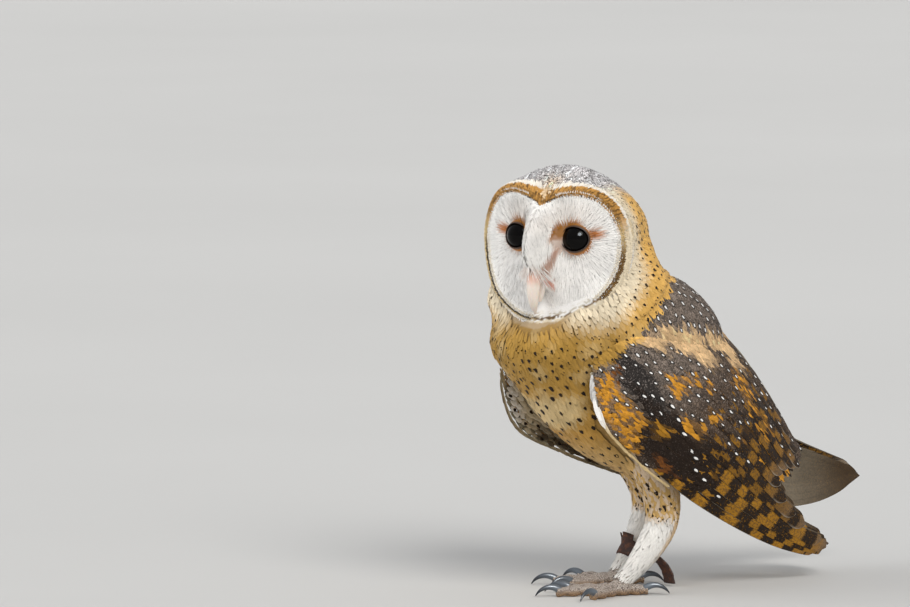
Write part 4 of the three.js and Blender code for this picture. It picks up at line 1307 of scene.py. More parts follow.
def torso_coats():
    """Three coats: hood, front and back, by where each feather roots."""
    coats = hood, front, rear = [Coat(f"coat_{name}", PLUMAGE[kind]) for name, kind in
                                 (("hood", "head"), ("breast", "body"), ("back", "wing"))]
    below_head = lambda p: ease(HEAD_AT[2] - p[:, 2], 20, 70)
    at, normal, face_gap = torso_roots(lambda _, p: 1.75 + 0.55 * below_head(p), 11)
    lower = below_head(at)
    mantle = (behind_hood(at) > 4 * chance(len(at), 18) - 2) & (at[:, 2] > 80)
    colours, grey, tip, tip_share, flecks, room = torso_tints(at, face_gap, mantle * 1.0)
    size = ease(face_gap, 4, 30)
    length = (5.0 + 3.5 * size + 4.0 * lower) * (0.35 + 0.65 * ease(at[:, 2], 52, 68))
    width = 2.2 + 0.6 * size + 0.7 * lower
    salt = chance(len(at), 20)
    tone = (0.62 + 0.76 * salt) * (1 + 0.3 * (salt > 0.85)) * grey + (0.93 + 0.14 * salt) * (1 - grey)
    x, y, z = at.T
    tone = tone + 0.09 * (1 - mantle) * np.sin(x / 5.3 + z / 6.1) * np.sin(y / 6.7 - z / 8.3)
    colours = np.clip(colours * (tone + mantle * 0.5 * (salt - 0.5))[:, None], 0, 0.95)
    flow = torso_flow(at)
    combed = comb(torso_guide, at, normal, flow, length, 4, 12)
    of_hood = (at[:, 2] > HEAD_AT[2] - 50) & ~mantle
    whole = (hood, of_hood), (front, ~of_hood & ~mantle), (rear, mantle)
    for coat, part in whole:
        coat.add(picked(part, *combed), width[part], across=3, seed=5, rounding=1.0,
                 root_tint=colours[part] * 0.95, tip_tint=colours[part], alt=tip[part],
                 bars=-1 - (mantle * tip_share)[part],
                 drop=(0.5 * grey * (chance(len(at), 3) < 0.3))[part],
                 flecks=np.maximum(1.2 * grey, mantle * flecks)[part])
    dot_gap = 4.1 + 0.5 * ease(at[:, 2], 235, 200) + 3.2 * ease(at[:, 2], 180, 125)
    dotted = thinned(at, dot_gap, 3) * ease(face_gap, 9, 15) * (1 - grey) * (1 - mantle)
    dots = dotted * (0.85 + 0.75 * ease(at[:, 2], 185, 130)) * (0.6 + 0.8 * chance(len(at), 4))
    for coat, part in whole[:2]:
        part = part & (dots > 0.3)
        roots = picked(part, at, normal, flow, length, width + 1.0, colours)
        add_spotted(coat, torso_guide, roots, 15, dot=dots[part])
    dropped = mantle & (room > 0.5) & (thinned(at, 6.2, 5) > 0)
    roots = picked(dropped, at, normal, flow, length, width + 1.2, colours * 0.7)
    add_spotted(rear, torso_guide, roots, 17, drop=1.15, flecks=0.6)
    return coats


def to_segment(x, z, start, end):
    """Distance of points from a line between two places, and how far along it they lie."""
    (x0, z0), (x1, z1) = start, end
    share = np.clip(((x - x0) * (x1 - x0) + (z - z0) * (z1 - z0)) / ((x1 - x0) ** 2 + (z1 - z0) ** 2), 0, 1)
    return np.hypot(x - x0 - share * (x1 - x0), z - z0 - share * (z1 - z0)), share


# The shape of the face's hair-like feathers.
HAIR = dict(kind="hair", across=2, cup=0.0, fray=0.0, unruly=0.1, puff=0.3, rounding=0.0)
HAIR_WIDTH = 0.9
FILAMENT_GAP = 0.98  # between the roots of the face's feathers


def disc_coat():
    """The face's fine white filaments, which spread from the eyes, and fall from the ridge."""
    coat = Coat("coat_disc", PLUMAGE["disc"])
    at, normal, place = disc_guide.scatter(lambda *_: FILAMENT_GAP, 21)
    x, _, z = head_local(at)
    side = np.where(x < 0, -1.0, 1.0)
    away_x, away_z = (np.abs(x) - EYE_X), (z - EYE_Z)
    eye_gap = np.hypot(away_x, away_z * 1.12)
    keep = (eye_gap > 10.6) & (place[:, 0] < -0.01) & ~((np.abs(x) < 3.2) & (z < -25) & (z > -52))
    at, normal, place, x, z, side, away_x, away_z, eye_gap = (
        a[keep] for a in (at, normal, place, x, z, side, away_x, away_z, eye_gap))
    back = place[:, 0]
    radial = (x - side * EYE_X * 0.9)[:, None] * HEAD_LEFT + away_z[:, None] * UP
    ridge = ease(np.abs(x), 15, 6)[:, None]
    down = side[:, None] * HEAD_LEFT * 0.55 - UP
    flow = unit(radial) * (1 - ridge) + down * ridge
    length = 6.5 - 1.5 * ridge[:, 0] - 3.2 * ease(eye_gap, 15, 11)
    length = np.minimum(length, 0.6 + 60 * -back)
    colours = blend(DISC_WHITE, DISC_SHADE, 0.7 * ease(z, 0, 25) * ease(-back, 0.1, 0.5))
    corner = oval(away_x, away_z, 12.5, 3.5, 6.4, 4.4, 0.2)
    upper = ease((0.85 * away_z - 0.5 * away_x) / eye_gap, 0.3, 0.8)
    above = ease(eye_gap, 13.4, 11.2) * upper
    colours = blend(colours, EYE_GOLD, np.maximum(0.95 * corner, 0.8 * ease(eye_gap, 14.5, 11.5) * upper))
    colours = blend(colours, LID_OLIVE, 0.95 * above)
    colours = blend(colours, EYE_ORANGE, 0.5 * ease(eye_gap, 12.6, 11) * ease(away_z, 6, -6))
    gap, share = to_segment(np.abs(x), z, (12.5, -8), (5.5, -25))
    colours = blend(colours, TEAR_BROWN, 0.75 * ease(gap, 2.6 + 1.5 * share, 0.4))
    cere, _ = to_segment(np.abs(x), z, (3.5, -24), (8, -28))
    colours = blend(colours, CERE_PINK, 0.9 * ease(cere, 5.2, 2.0))
    combed = comb(disc_guide, at, normal, flow, length, 3, 22, 0.1)
    coat.add(combed, np.full(len(at), HAIR_WIDTH), lift=(-0.25, 0.15), sag=1.0, thick=0.18, roll=0.15,
             seed=6, root_tint=colours, tip_tint=colours, **HAIR)
    add_bristles(coat)
    return coat


def add_bristles(coat):
    """Longer white bristles that fall over the root of the bill."""
    count = 80
    rng = np.random.default_rng(23)
    x = rng.uniform(-7.5, 7.5, count)
    z = rng.uniform(-25, -17, count) - 0.25 * np.abs(x)
    f = disc_f(x, z, 0.3, 0) - 0.5
    at = head_place(x, f, z)
    spread = 0.16 * x + rng.normal(0, 0.12, count)
    steps = np.linspace(0, 1, 5)
    length = rng.uniform(6, 11, count)
    ahead = unit(spread[:, None] * HEAD_LEFT - UP + (0.12 - 0.05 * np.abs(x))[:, None] * HEAD_AHEAD)
    run = (length[:, None] * steps)[..., None]
    line = at[:, None] + ahead[:, None] * run - 0.9 * HEAD_AHEAD * (steps**2)[:, None]
    up = np.broadcast_to(HEAD_AHEAD, line.shape)
    heading = unit(np.gradient(line, axis=1))
    up = unit(up - heading * (up * heading).sum(2, keepdims=True))
    colours = blend(DISC_WHITE, EYE_ORANGE, 0.25 * rng.random(count))
    coat.add((line, up, heading), np.full(count, HAIR_WIDTH), lift=(0.0, 0.0), thick=0.2, roll=0.2,
             seed=24, root_tint=colours, tip_tint=colours, **HAIR)


def along_rim(count):
    """Turns that divide the rim into equal lengths."""
    turns = np.linspace(0, 2, 800)
    steps = np.linalg.norm(np.diff(head_point(turns, np.zeros(800)), axis=0), axis=1)
    run = np.concatenate([[0], np.cumsum(steps)])
    return np.interp(np.linspace(0, run[-1], count + 1)[:-1], run, turns)


def rim_row(count, start, end, seed, steps=3):
    """Centre lines and turns of feathers round the rim, from one distance behind it to another."""
    rng = np.random.default_rng(seed)
    turn = along_rim(count) + rng.normal(0, 0.15 / count, count)
    chin = CHIN_SHIFT * ease(np.minimum(turn, 2 - turn), 0.72, 0.95) + rng.normal(0, 0.003, count)
    back = start + (end - start) * np.linspace(0, 1, steps + 1) + chin[:, None]
    line = head_point(np.broadcast_to(turn[:, None], back.shape), back)
    heading = unit(np.gradient(line, axis=1))
    beside = head_point(turn[:, None] + 0.004 + 0 * back, back) - line
    up = unit(np.cross(beside, heading))
    up = up * np.sign((up * (line - HEAD_MIDDLE)).sum(2, keepdims=True))
    return (line, up, heading), turn


# Rows of the ruff, from the disc's edge backwards: start, end, count, width, kind.
RUFF_ROWS = [
    (0.066, 0.112, 240, 2.2, "outer"), (0.048, 0.094, 250, 2.0, "outer"),
    (0.036, 0.072, 260, 1.8, "pale"), (0.024, 0.05, 400, 1.2, "band"), (0.01, 0.036, 420, 1.1, "band"),
    (-0.012, 0.022, 300, 1.5, "line"), (-0.026, 0.006, 320, 1.5, "line"),
    (-0.062, -0.014, 170, 2.1, "bead"), (-0.088, -0.036, 180, 1.9, "bead"),
    (-0.11, -0.055, 190, 1.6, "inner"),
]
CHIN_SHIFT = -0.06  # how far the rows under the chin move in over the disc, where the rim turns under


def ruff_coat():
    """The stiff feathers round the face: pale beads, a dark line, an ochre brow band and cream behind."""
    coat = Coat("coat_ruff", PLUMAGE["head"])
    for k, (start, end, count, width, kind) in enumerate(RUFF_ROWS):
        combed, turn = rim_row(count, start, end, 70 + k)
        half = np.minimum(turn, 2 - turn)
        if kind == "outer":
            kept = half > 0.4 + 0.06 * chance(count, 50 + k)
            combed, turn, half = tuple(a[kept] for a in combed), turn[kept], half[kept]
            count = len(turn)
        brow = ease(half, 0.5, 0.38)
        lower = ease(half, 0.46, 0.56)
        speckle = chance(count, 60 + k) < 0.3
        if kind == "bead":
            shade = 0.86 + 0.14 * chance(count, 90 + k)
            colours = blend(DISC_WHITE, CREAM, 0.75 * lower) * shade[:, None]
            dotted = blend(RIM_OCHRE, RIM_DARK, 0.8 * (chance(count, 40 + k) < 0.4))
            colours = blend(colours, dotted, 0.9 * brow * (start > -0.07))
        elif kind == "inner":
            colours = blend(DISC_WHITE, CREAM, 0.2 * lower)
        elif kind == "line":
            left_side = ease(turn, 1.1, 0.95)
            dark = 0.95 * lower * (left_side if start > -0.02 else 1)
            mottled = RIM_OCHRE * (0.35 + 0.6 * chance(count, 60 + k))[:, None]
            rim = blend(RIM_DARK, mottled, 0.35 * left_side)
            colours = blend(blend(PALE_BREAST, rim, dark), mottled, brow)
        elif kind == "band":
            colours = blend(CREAM, blend(RIM_OCHRE, RIM_DARK, 0.7 * speckle), brow)
            colours = blend(colours, RIM_OCHRE * 0.8, 0.8 * lower * (start < 0.01))
        elif kind == "pale":
            shade = 0.9 + 0.1 * chance(count, 60 + k)
            colours = blend(CREAM, DISC_WHITE, 0.6 * brow) * shade[:, None]
        else:
            colours = blend(blend(PALE_BREAST, CREAM, 0.5), DISC_WHITE, 0.7 * lower)
            # Near the chin the outer rows take the breast's tint, with its painted shade.
            colours = blend(colours, BREAST_SHADED, 0.75 * ease(half, 0.76, 0.9))
        proud = {"bead": 0.45, "line": 0.7}.get(kind, 0.3)
        # Beads are darker at the root: painted shade where each bead tucks under the next.
        root_tint = colours * (0.72 if kind == "bead" else 0.95)
        coat.add(combed, np.full(count, width), across=3, lift=(-0.4, proud), seed=80 + k, thick=0.2,
                 rounding=0.9, root_tint=root_tint, tip_tint=colours, fray=0.12, puff=0.5)
    return coat


def flight_boundary(t):
    """How far along the wing the coverts reach before the bare flight feathers begin."""
    return np.interp(t, [0.05, 0.3, 0.36, 0.5, 0.9], [0.54, 0.46, 0.6, 0.62, 0.66])


def wing_coat(side, label):
    """The coverts on a wing's outer face, with their drops, the covered front and both edges."""
    coat = Coat(f"coat_wing_{label}", PLUMAGE["wing"])

    def spacing(places, _):
        s, t = places.T
        feathered = (s < flight_boundary(t)) & (t > 0.012 + 0.06 * ease(s, 0.36, 0.46))
        return np.where(feathered, 1.75 + 0.5 * ease(s, 0.12, 0.36), 0)

    at, normal, place = wing_guides[side].scatter(spacing, 41 + side)
    s, t = place.T
    length = 8.0 + 6.0 * ease(s, 0.12, 0.38)
    flow = blend(np.array([0, 0.86, -0.51]), WING_FLOW, ease(t, 0.04, 0.2))
    length = length * (0.6 + 0.4 * ease(t, 0.02, 0.15))
    combed = comb(wing_guides[side], at, normal, flow, length, 4, 42, 0.08)
    colours, tip, tip_share, flecks, room = wing_pattern(s, t, 43)
    breast_line = 0.12 + 0.03 * ease(t, 0.45, 0.65)
    covered_front = ease(s, breast_line + 0.012, breast_line - 0.012)
    # The covered front takes the breast's tint, with its painted shade, turning to the hood's gold higher up.
    hood = blend(BREAST_SHADED, GOLDEN, ease(t, 0.3, 0.6))
    colours, tip = blend(colours, hood, covered_front), blend(tip, hood, covered_front)
    plain = 1 - covered_front
    if side < 0:
        far_edge = ease(t, 0.09, 0.04)
        colours, tip = blend(colours, EDGE_GREY, far_edge), blend(tip, EDGE_GREY, far_edge)
        room = room * (1 - far_edge)
    tones = 0.82 + 0.36 * chance(len(at), 46)[:, None]
    coat.add(combed, 2.4 + 1.1 * ease(s, 0.12, 0.36), across=3, seed=8, rounding=1.1, fray=0.25,
             root_tint=colours * 0.9 * tones, tip_tint=colours * tones, alt=tip,
             bars=-1 - tip_share * plain, flecks=flecks * plain)
    width = 3.6 + 0.8 * ease(s, 0.12, 0.36)
    spread = thinned(at, 6.6 + 1.8 * ease(s, 0.25, 0.4), 9)
    chosen = (spread > 0) & (room > 0.2 + 0.5 * chance(len(at), 47)) & (plain > 0.5)
    roots = picked(chosen, at, normal, flow, length, width, colours * 0.7)
    drop = 0.8 + 0.5 * chance(len(at), 44)
    add_spotted(coat, wing_guides[side], roots, 48, drop=drop[chosen], flecks=flecks[chosen])
    low_s, low_t = np.array(LOW_DROPS).T
    low_at = wing_point(side, low_s, low_t)
    low_normal = wing_guides[side].nearest(low_at)[1]
    low_flow = np.broadcast_to(WING_FLOW, low_at.shape)
    low_length, low_width = np.full(len(low_at), 14.0), np.full(len(low_at), 5.0)
    roots = low_at, low_normal, low_flow, low_length, low_width, BLACK_BROWN
    add_spotted(coat, wing_guides[side], roots, 50, drop=1.5)
    chosen = (thinned(at, 6, 45) > 0) & (covered_front > 0.5)
    roots = picked(chosen, at, normal, flow, length, width, colours)
    add_spotted(coat, wing_guides[side], roots, 49, dot=0.9)
    edge_coverts(coat, side)
    inner_coverts(coat, side)
    return coat


def edge_coverts(coat, side):
    """A crescent of white feathers on the wing's leading edge, and narrow cream ones behind it."""
    rng = np.random.default_rng(91)
    count = 60 if side > 0 else 190
    s = np.sort(rng.uniform(0.13, 0.44 if side > 0 else 0.6, count))
    white = ease(s, 0.27, 0.2) * (side > 0)
    t = rng.uniform(0.0, 0.024, count) * (0.3 + 0.7 * white)
    at = wing_point(side, s, t)
    normal = unit(np.array([side * 0.8, -0.4, -0.4]) + 0 * at)
    flow = wing_point(side, s + 0.02, t * 0.8) - at
    combed = comb(wing_guides[side], at, normal, flow, 9 + 8 * white, 6, 92, 0.02)
    colours = blend(PALE_BREAST if side > 0 else UNDERWING, SPOT_WHITE, white)
    width = 1.3 + 1.3 * white if side > 0 else np.full(count, 2.6)
    coat.add(combed, width, kind="long", across=5, lift=(0.0, 0.5), fray=0.05, seed=93,
             root_tint=colours * 0.95, tip_tint=colours)


def inner_coverts(coat, side):
    """The pale lining on the side of the wing that faces the body, and its darker lower band."""
    guide = inner_guides[side]
    lined = lambda places, _: np.where((places[:, 0] < 0.6) & (places[:, 1] > 0.03), 3.4, 0)
    at, normal, place = guide.scatter(lined, 95 + side)
    s, t = place.T
    length = 6.0 + 9 * ease(t, 0.05, 0.25)
    combed = comb(guide, at, normal, np.broadcast_to(WING_FLOW, at.shape), length, 4, 96)
    colours = blend(UNDERWING, WEDGE_BROWN * 0.6, 0.9 * ease(s, 0.27, 0.32) * ease(t, 0.12, 0.07))
    colours = blend(colours, SHANK_WHITE, 0.9 * oval(s, t, 0.2, 0.04, 0.06, 0.08))
    coat.add(combed, np.full(len(at), 3.6), across=4, lift=(-0.8, 0.0), seed=97,
             root_tint=colours * 0.95, tip_tint=colours, dot=1.2 * thinned(at, 9, 98))


# Each flight feather's tip along the wing and its lower edge across it, from the lowest feather up.
STRIPS = [
    (0.93, 0.0), (1.0, 0.07), (0.975, 0.145), (0.91, 0.22), (0.80, 0.30), (0.75, 0.335), (0.70, 0.38),
    (0.66, 0.45), (0.65, 0.53), (0.66, 0.61), (0.68, 0.69), (0.70, 0.77), (0.68, 0.85), (0.64, 0.93),
]
DROOPED_STRIPS = [(1.0 - 0.003 * k, 0.068 * k) for k in range(14)]
FLIGHT_WEB = 13.0
BAR_PERIOD = 25.0
STRIPS_START = 0.36


def strip_lines(side, inwards=0.0):
    """Centre lines, normals, widths and bar counts of the flight feathers."""
    rows = 28
    rng = np.random.default_rng(50)
    lines, ups, widths, bars = [], [], [], []
    for end, low in STRIPS if side > 0 else DROOPED_STRIPS:
        s = STRIPS_START + (end - STRIPS_START) * tip_run(np.linspace(0, 1, rows))
        chord = wing_chord(side, s)
        width = np.minimum(FLIGHT_WEB, 0.75 * chord)
        t = np.minimum(low + width / 2 / chord, 1 - 0.3 * width / chord)
        p = wing_point(side, s, t)
        around = wing_point(side, s, t + 0.01) - p
        normal = unit(np.cross(np.gradient(p, axis=0), around))
        lines.append(p - np.array([side * inwards, 0, 0]))
        ups.append(normal * np.where(normal[:, :1] * side > 0, 1, -1))
        widths.append(width)
        run = np.concatenate([[0], np.cumsum(np.linalg.norm(np.diff(p, axis=0), axis=1))])
        wander = 0.2 * np.sin(run / rng.uniform(14, 22) + 6 * rng.random())
        bar = run / (BAR_PERIOD * rng.uniform(0.85, 1.15)) + wander + rng.random()
        bars.append(np.where(s > end - 0.1 * (low < 0.2), np.floor(bar) + 0.75, bar))
    line = np.array(lines)
    return line, np.array(ups), unit(np.gradient(line, axis=1)), np.array(widths), np.array(bars)


def flight_islands(count, column):
    """Long narrow islands of the bake map, one for each feather, in a column of their own."""
    k = np.arange(count)
    sizes = 0.25 + 0.5 * column, 0.8 / count, 0.46
    return np.stack([(k + 0.5) / count, *(np.full(count, size) for size in sizes)], 1)


# The shape of the flight feathers and of their undersides.
FLIGHT_SHAPE = dict(kind="flight", across=5, sag=1.0, thick=0.3, roll=0.0, fray=0.04, unruly=0.0, seed=9)


def flight_coat(side, label):
    """Long flight feathers, each with its lower web showing below the next one up, and their undersides."""
    coat = Coat(f"flight_{label}", PLUMAGE["flight"])
    k = np.arange(len(STRIPS))
    line, up, heading, widths, bars = strip_lines(side)
    up = unit(up + np.cross(up, heading) * 0.1 * side)
    upper = ease(k, 3, 4)[:, None]
    ground = blend(STRIP_OCHRE, UMBER, 0.1 + 0.4 * upper[:, 0]) * (0.85 + 0.3 * chance(len(k), 51))[:, None]
    tips = FLIGHT_GREY * (1 - 0.15 * upper)
    coat.add((line, up, heading), widths, lift=(-0.5, 0.3), root_tint=ground, tip_tint=tips, tip_from=0.8,
             alt=UMBER, bars=bars, flecks=0.7, drop=-0.5 * upper[:, 0],
             islands=flight_islands(len(k), 0), **FLIGHT_SHAPE)
    line, up, heading, widths, bars = strip_lines(side, 1.0)
    coat.add((line, -up, heading), widths, lift=(0.3, 0.2), root_tint=WEDGE_GREY, tip_tint=WEDGE_BROWN,
             tip_from=0.6, alt=WEDGE_BROWN, bars=-1.2, flecks=0.25,
             islands=flight_islands(len(k), 1), **FLIGHT_SHAPE)
    return coat


def leg_coat():
    """The legs' short feathers, white on the shanks and buff with spots on the thighs."""
    coat = Coat("coat_legs", PLUMAGE["leg"])
    for side, guide in leg_guides.items():
        gap = lambda places, _: 2.4 - 0.9 * ease(places[:, 0], 0.4, 0.7)
        at, normal, place = guide.scatter(gap, 61 + side)
        keep = (at[:, 2] > 9) & ~covered(at, torso_guide, 3)
        at, normal, place = at[keep], normal[keep], place[keep]
        along = place[:, 0]
        path = smooth(LEG_PATHS[side])
        flow = path(np.minimum(1, along + 0.05)) - path(np.maximum(0, along - 0.05))
        length = 12 - 7.5 * ease(along, 0.3, 0.9)
        combed = comb(guide, at, normal, unit(flow), length, 4, 62)
        astray = guide.nearest(combed[0][:, -1])[2] > 2.0
        combed[0][astray] = combed[0][astray][:, :1] + 0.2 * (combed[0][astray] - combed[0][astray][:, :1])
        rear = ease(normal[:, 1], 0.0, 0.6) * ease(along, 0.75, 0.55)
        thigh = ease(along, 0.42, 0.3)
        colours = blend(blend(SHANK_WHITE, BUFF, 0.8 * rear), BELLY, 0.6 * thigh)
        root = -1.4 + 1.0 * ease(along, 0.35, 0.75)
        coat.add(combed, length * 0.26, across=3, lift=(root, 0.1), thick=0.18, seed=10,
                 root_tint=colours * 0.96, tip_tint=colours, dot=thigh * thinned(at, 8, 63))
    return coat


TAIL_FEATHERS, TAIL_FEATHER_WIDTH, TAIL_BARS = 12, 12.0, 4.2


def tail_coat():
    """Barred tail feathers, folded like a narrow fan."""
    coat = Coat("coat_tail", PLUMAGE["flight"])
    rows = 16
    k = np.arange(TAIL_FEATHERS)
    across = 0.08 + 0.84 * k / (TAIL_FEATHERS - 1)
    s = np.linspace(0.0, 1.0, rows)[None] * (1 - 0.08 * np.abs(across - 0.5))[:, None]
    spread = 0.5 + (across - 0.5)[:, None] * np.linspace(0.5, 1, rows)
    line = tail_point(s, spread)
    heading = unit(np.gradient(line, axis=1))
    up = unit(UP - heading * heading[..., 2:])
    centre = (TAIL_FEATHERS - 1) / 2
    middle = 1 - np.abs(k - centre) / centre
    lift = -0.5 + middle * 0.6, -0.3 + middle * 0.9
    bars = np.broadcast_to(np.linspace(0, TAIL_BARS, rows), (TAIL_FEATHERS, rows))
    coat.add((line, up, heading), np.full(TAIL_FEATHERS, TAIL_FEATHER_WIDTH), kind="long", across=5,
             lift=lift, sag=1.0, thick=0.35, roll=0.0, fray=0.05, unruly=0.0, seed=12,
             root_tint=STRIP_OCHRE, tip_tint=FLIGHT_GREY, alt=UMBER, bars=bars, flecks=0.6,
             islands=flight_islands(TAIL_FEATHERS, 0))
    return coat


# ---------- bare parts ----------

EYE_TURN = math.radians(9)  # how far each eye looks outwards of straight ahead


def eye_axes(side):
    """The way an eye looks, and its own left."""
    ahead = HEAD_AHEAD * math.cos(EYE_TURN) + HEAD_LEFT * side * math.sin(EYE_TURN)
    across = HEAD_LEFT * math.cos(EYE_TURN) - HEAD_AHEAD * side * math.sin(EYE_TURN)
    return ahead, across


def eye_middle(side):
    """The middle of an eyeball."""
    return head_place(*np.array([[side * EYE_X], [EYE_F], [EYE_Z]], float))[0]


def add_eye(side, label, material):
    """An eyeball with the cornea's slightly steeper dome."""
    ahead, across = eye_axes(side)
    x, z, f = ball_rings(48, 64, 0.02)
    reach = EYE_RADIUS * (1 + 0.02 * np.exp(-((np.arccos(f) / 0.55) ** 4)))
    x, z, f = reach * x, reach * z, reach * f
    points = eye_middle(side) + x[..., None] * across + z[..., None] * UP + f[..., None] * ahead
    thing = add_mesh(f"eyeball_{label}", *closed_tube(points), material)
    unwrap(thing)
    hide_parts(f"eye_{label}")
    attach(thing, "root")


def bill_tube(route, widths, depths, ridge):
    """Rings of half a bill along a route (forward reach, height); ridge sharpens its two edges."""
    line, width, depth = smooth(route), smooth(widths), smooth(depths)
    t = np.linspace(0, 1, 40)
    a = full_turn(48)
    p, w, d = line(t), width(t)[:, 0], depth(t)[:, 0]
    sine = np.sin(a)
    x = np.cos(a)[None] * w[:, None]
    f = p[:, :1] + np.sign(sine) * np.abs(sine) ** ridge * d[:, None]
    z = np.broadcast_to(p[:, 1:], f.shape)
    return head_place(x, f, z)


def add_bill(material):
    """Both halves of the bill, pinkish at the root and pale at the tip."""
    upper = bill_tube([[21, -19], [24.5, -28], [25.5, -38], [24.8, -45], [23, -51]],
                      [4.4, 4.6, 4.0, 2.7, 0.8], [5.5, 5.5, 4.4, 2.8, 0.8], 1.15)
    lower = bill_tube([[16, -28], [17.5, -34], [18.5, -39], [18.6, -43]],
                      [4.8, 4.4, 3.6, 1.9], [2.8, 2.6, 2.2, 1.2], 1.0)
    for node, points in (("bill_upper", upper), ("bill_lower", lower)):
        vertices, faces = closed_tube(points)
        thing = add_mesh(f"{node}_horn", vertices, faces, material)
        _, _, z = head_local(vertices)
        colours = blend(blend(BILL_CERE, BILL_HORN, ease(z, -26, -33)), BILL_TIP, ease(z, -42, -51))
        tint_points(thing, colours)
        unwrap(thing)
        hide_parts(node)
        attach(thing, "root")


# Each toe's angle from the foot's heading in degrees, its length and its radius.
TOES = {"hind": (172, 19, 4), "inner": (-18, 37, 4.1), "middle": (4, 44, 4.2), "outer": (46, 32, 4)}
TOE_HEIGHT, TOE_TAPER = smooth([4.6, 3.6, 3.4, 2.9]), smooth([1.15, 1, 0.95, 0.88])
PAD_RADIUS = 8.5
CLAW_ARC, CLAW_LIFT, CLAW_ROOT_HEIGHT = math.radians(95), math.radians(36), 4.4
CLAW_LENGTH, CLAW_RADIUS, CLAW_SOCKET = 19, 2.7, 2
CLAW_TAPER = smooth([1, 0.92, 0.8, 0.66, 0.5, 0.32, 0.12])


def toe_axis(side, toe):
    """A toe's root on the floor and its heading."""
    heading = math.radians(FOOT_YAW + side * TOES[toe][0])
    x, y, _ = LEG_PATHS[side][-1]
    return np.array([x, y, 0.0]), np.array([math.sin(heading), -math.cos(heading), 0])


def add_foot(side, label, material):
    """A foot's pad, its four knobbly toes and the shank's end, fused and flat underneath."""
    x, y, z = LEG_PATHS[side][-1]
    pad_middle, pad_reach = np.array([x, y, z * 0.55]), PAD_RADIUS * np.array([1, 1, 0.72])
    parts = [closed_tube(pad_middle + np.stack(ball_rings(24, 32), -1) * pad_reach)]
    for toe, (_, length, radius) in TOES.items():
        start, ahead = toe_axis(side, toe)
        out = np.cross(ahead, UP)
        t = np.linspace(0, 1, 60)
        a = full_turn(24)
        middle = start + ahead * (t * length)[:, None] + UP * TOE_HEIGHT(t)
        r = radius * TOE_TAPER(t)[:, 0]
        under = np.maximum(0, -np.sin(a))[None]
        over = np.maximum(0, np.sin(a))[None]
        joint = np.cos(t * length / 11 * 2 * math.pi)[:, None] * (0.09 + 0.2 * under)
        scute = 0.07 * np.abs(np.sin(t * length / 2.8 * math.pi))[:, None] * over
        rr = r[:, None] * (1 + joint + scute - 0.06)
        ring = middle[:, None] + rr[..., None] * (0.88 * np.cos(a)[:, None] * out + np.sin(a)[:, None] * UP)
        parts.append(closed_tube(ring))
    leg = smooth(LEG_PATHS[side])
    t = np.linspace(0.9, 1.0, 12)
    radius = LEG_RADIUS(t[:, None])[..., 0] * 0.86
    parts.append(closed_tube(tube_point(leg, radius, t[:, None], full_turn(24)[None] / math.pi)))
    parts = [(np.maximum(points, [-1e3, -1e3, 0.15]), faces) for points, faces in parts]
    foot = fuse(f"foot_skin_{label}", parts, 0.55, 2)
    points = owl_points(foot.data)
    top = ease(points[:, 2], 1.5, 6)
    tint_points(foot, blend(SOLE_BROWN, TOE_GREY, top))
    foot.data.materials.clear()
    foot.data.materials.append(material)
    unwrap(foot)
    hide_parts(f"foot_{label}")
    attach(foot, "root")


def add_claw(side, label, toe, material):
    """A curved claw that grows out of a toe's end, blunter underneath."""
    start, ahead = toe_axis(side, toe)
    bend = CLAW_LENGTH / CLAW_ARC
    share = np.linspace(0, 1, 40)
    a = CLAW_ARC * share
    along = bend * (np.sin(a - CLAW_LIFT) + math.sin(CLAW_LIFT))
    rise = bend * (np.cos(a - CLAW_LIFT) - math.cos(CLAW_LIFT))
    out_to, up_to = TOES[toe][1] - CLAW_SOCKET + along, CLAW_ROOT_HEIGHT + rise
    middle = start + ahead * out_to[:, None] + UP * up_to[:, None]
    tangent = unit(np.gradient(middle, axis=0))
    out = np.cross(ahead, UP)
    over = np.cross(out, tangent)
    r = CLAW_RADIUS * CLAW_TAPER(share)[:, 0]
    turn = full_turn(28)
    edge = np.where(np.sin(turn) < 0, 0.86, 1.0)
    sideways = 0.9 * np.cos(turn)[:, None] * out
    upwards = (edge * np.sin(turn))[None, :, None] * over[:, None]
    vertices, faces = closed_tube(middle[:, None] + r[:, None, None] * (sideways + upwards))
    thing = add_mesh(f"talon_{label}_{toe}", vertices, faces, material)
    shade = np.concatenate([np.repeat(share, len(turn)), [0, 1]])
    tint_points(thing, blend(CLAW_SLATE, CLAW_DARK, ease(shade, 0.15, 0.9)))
    unwrap(thing)
    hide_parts(f"claw_{label}_{toe}")
    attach(thing, "root")


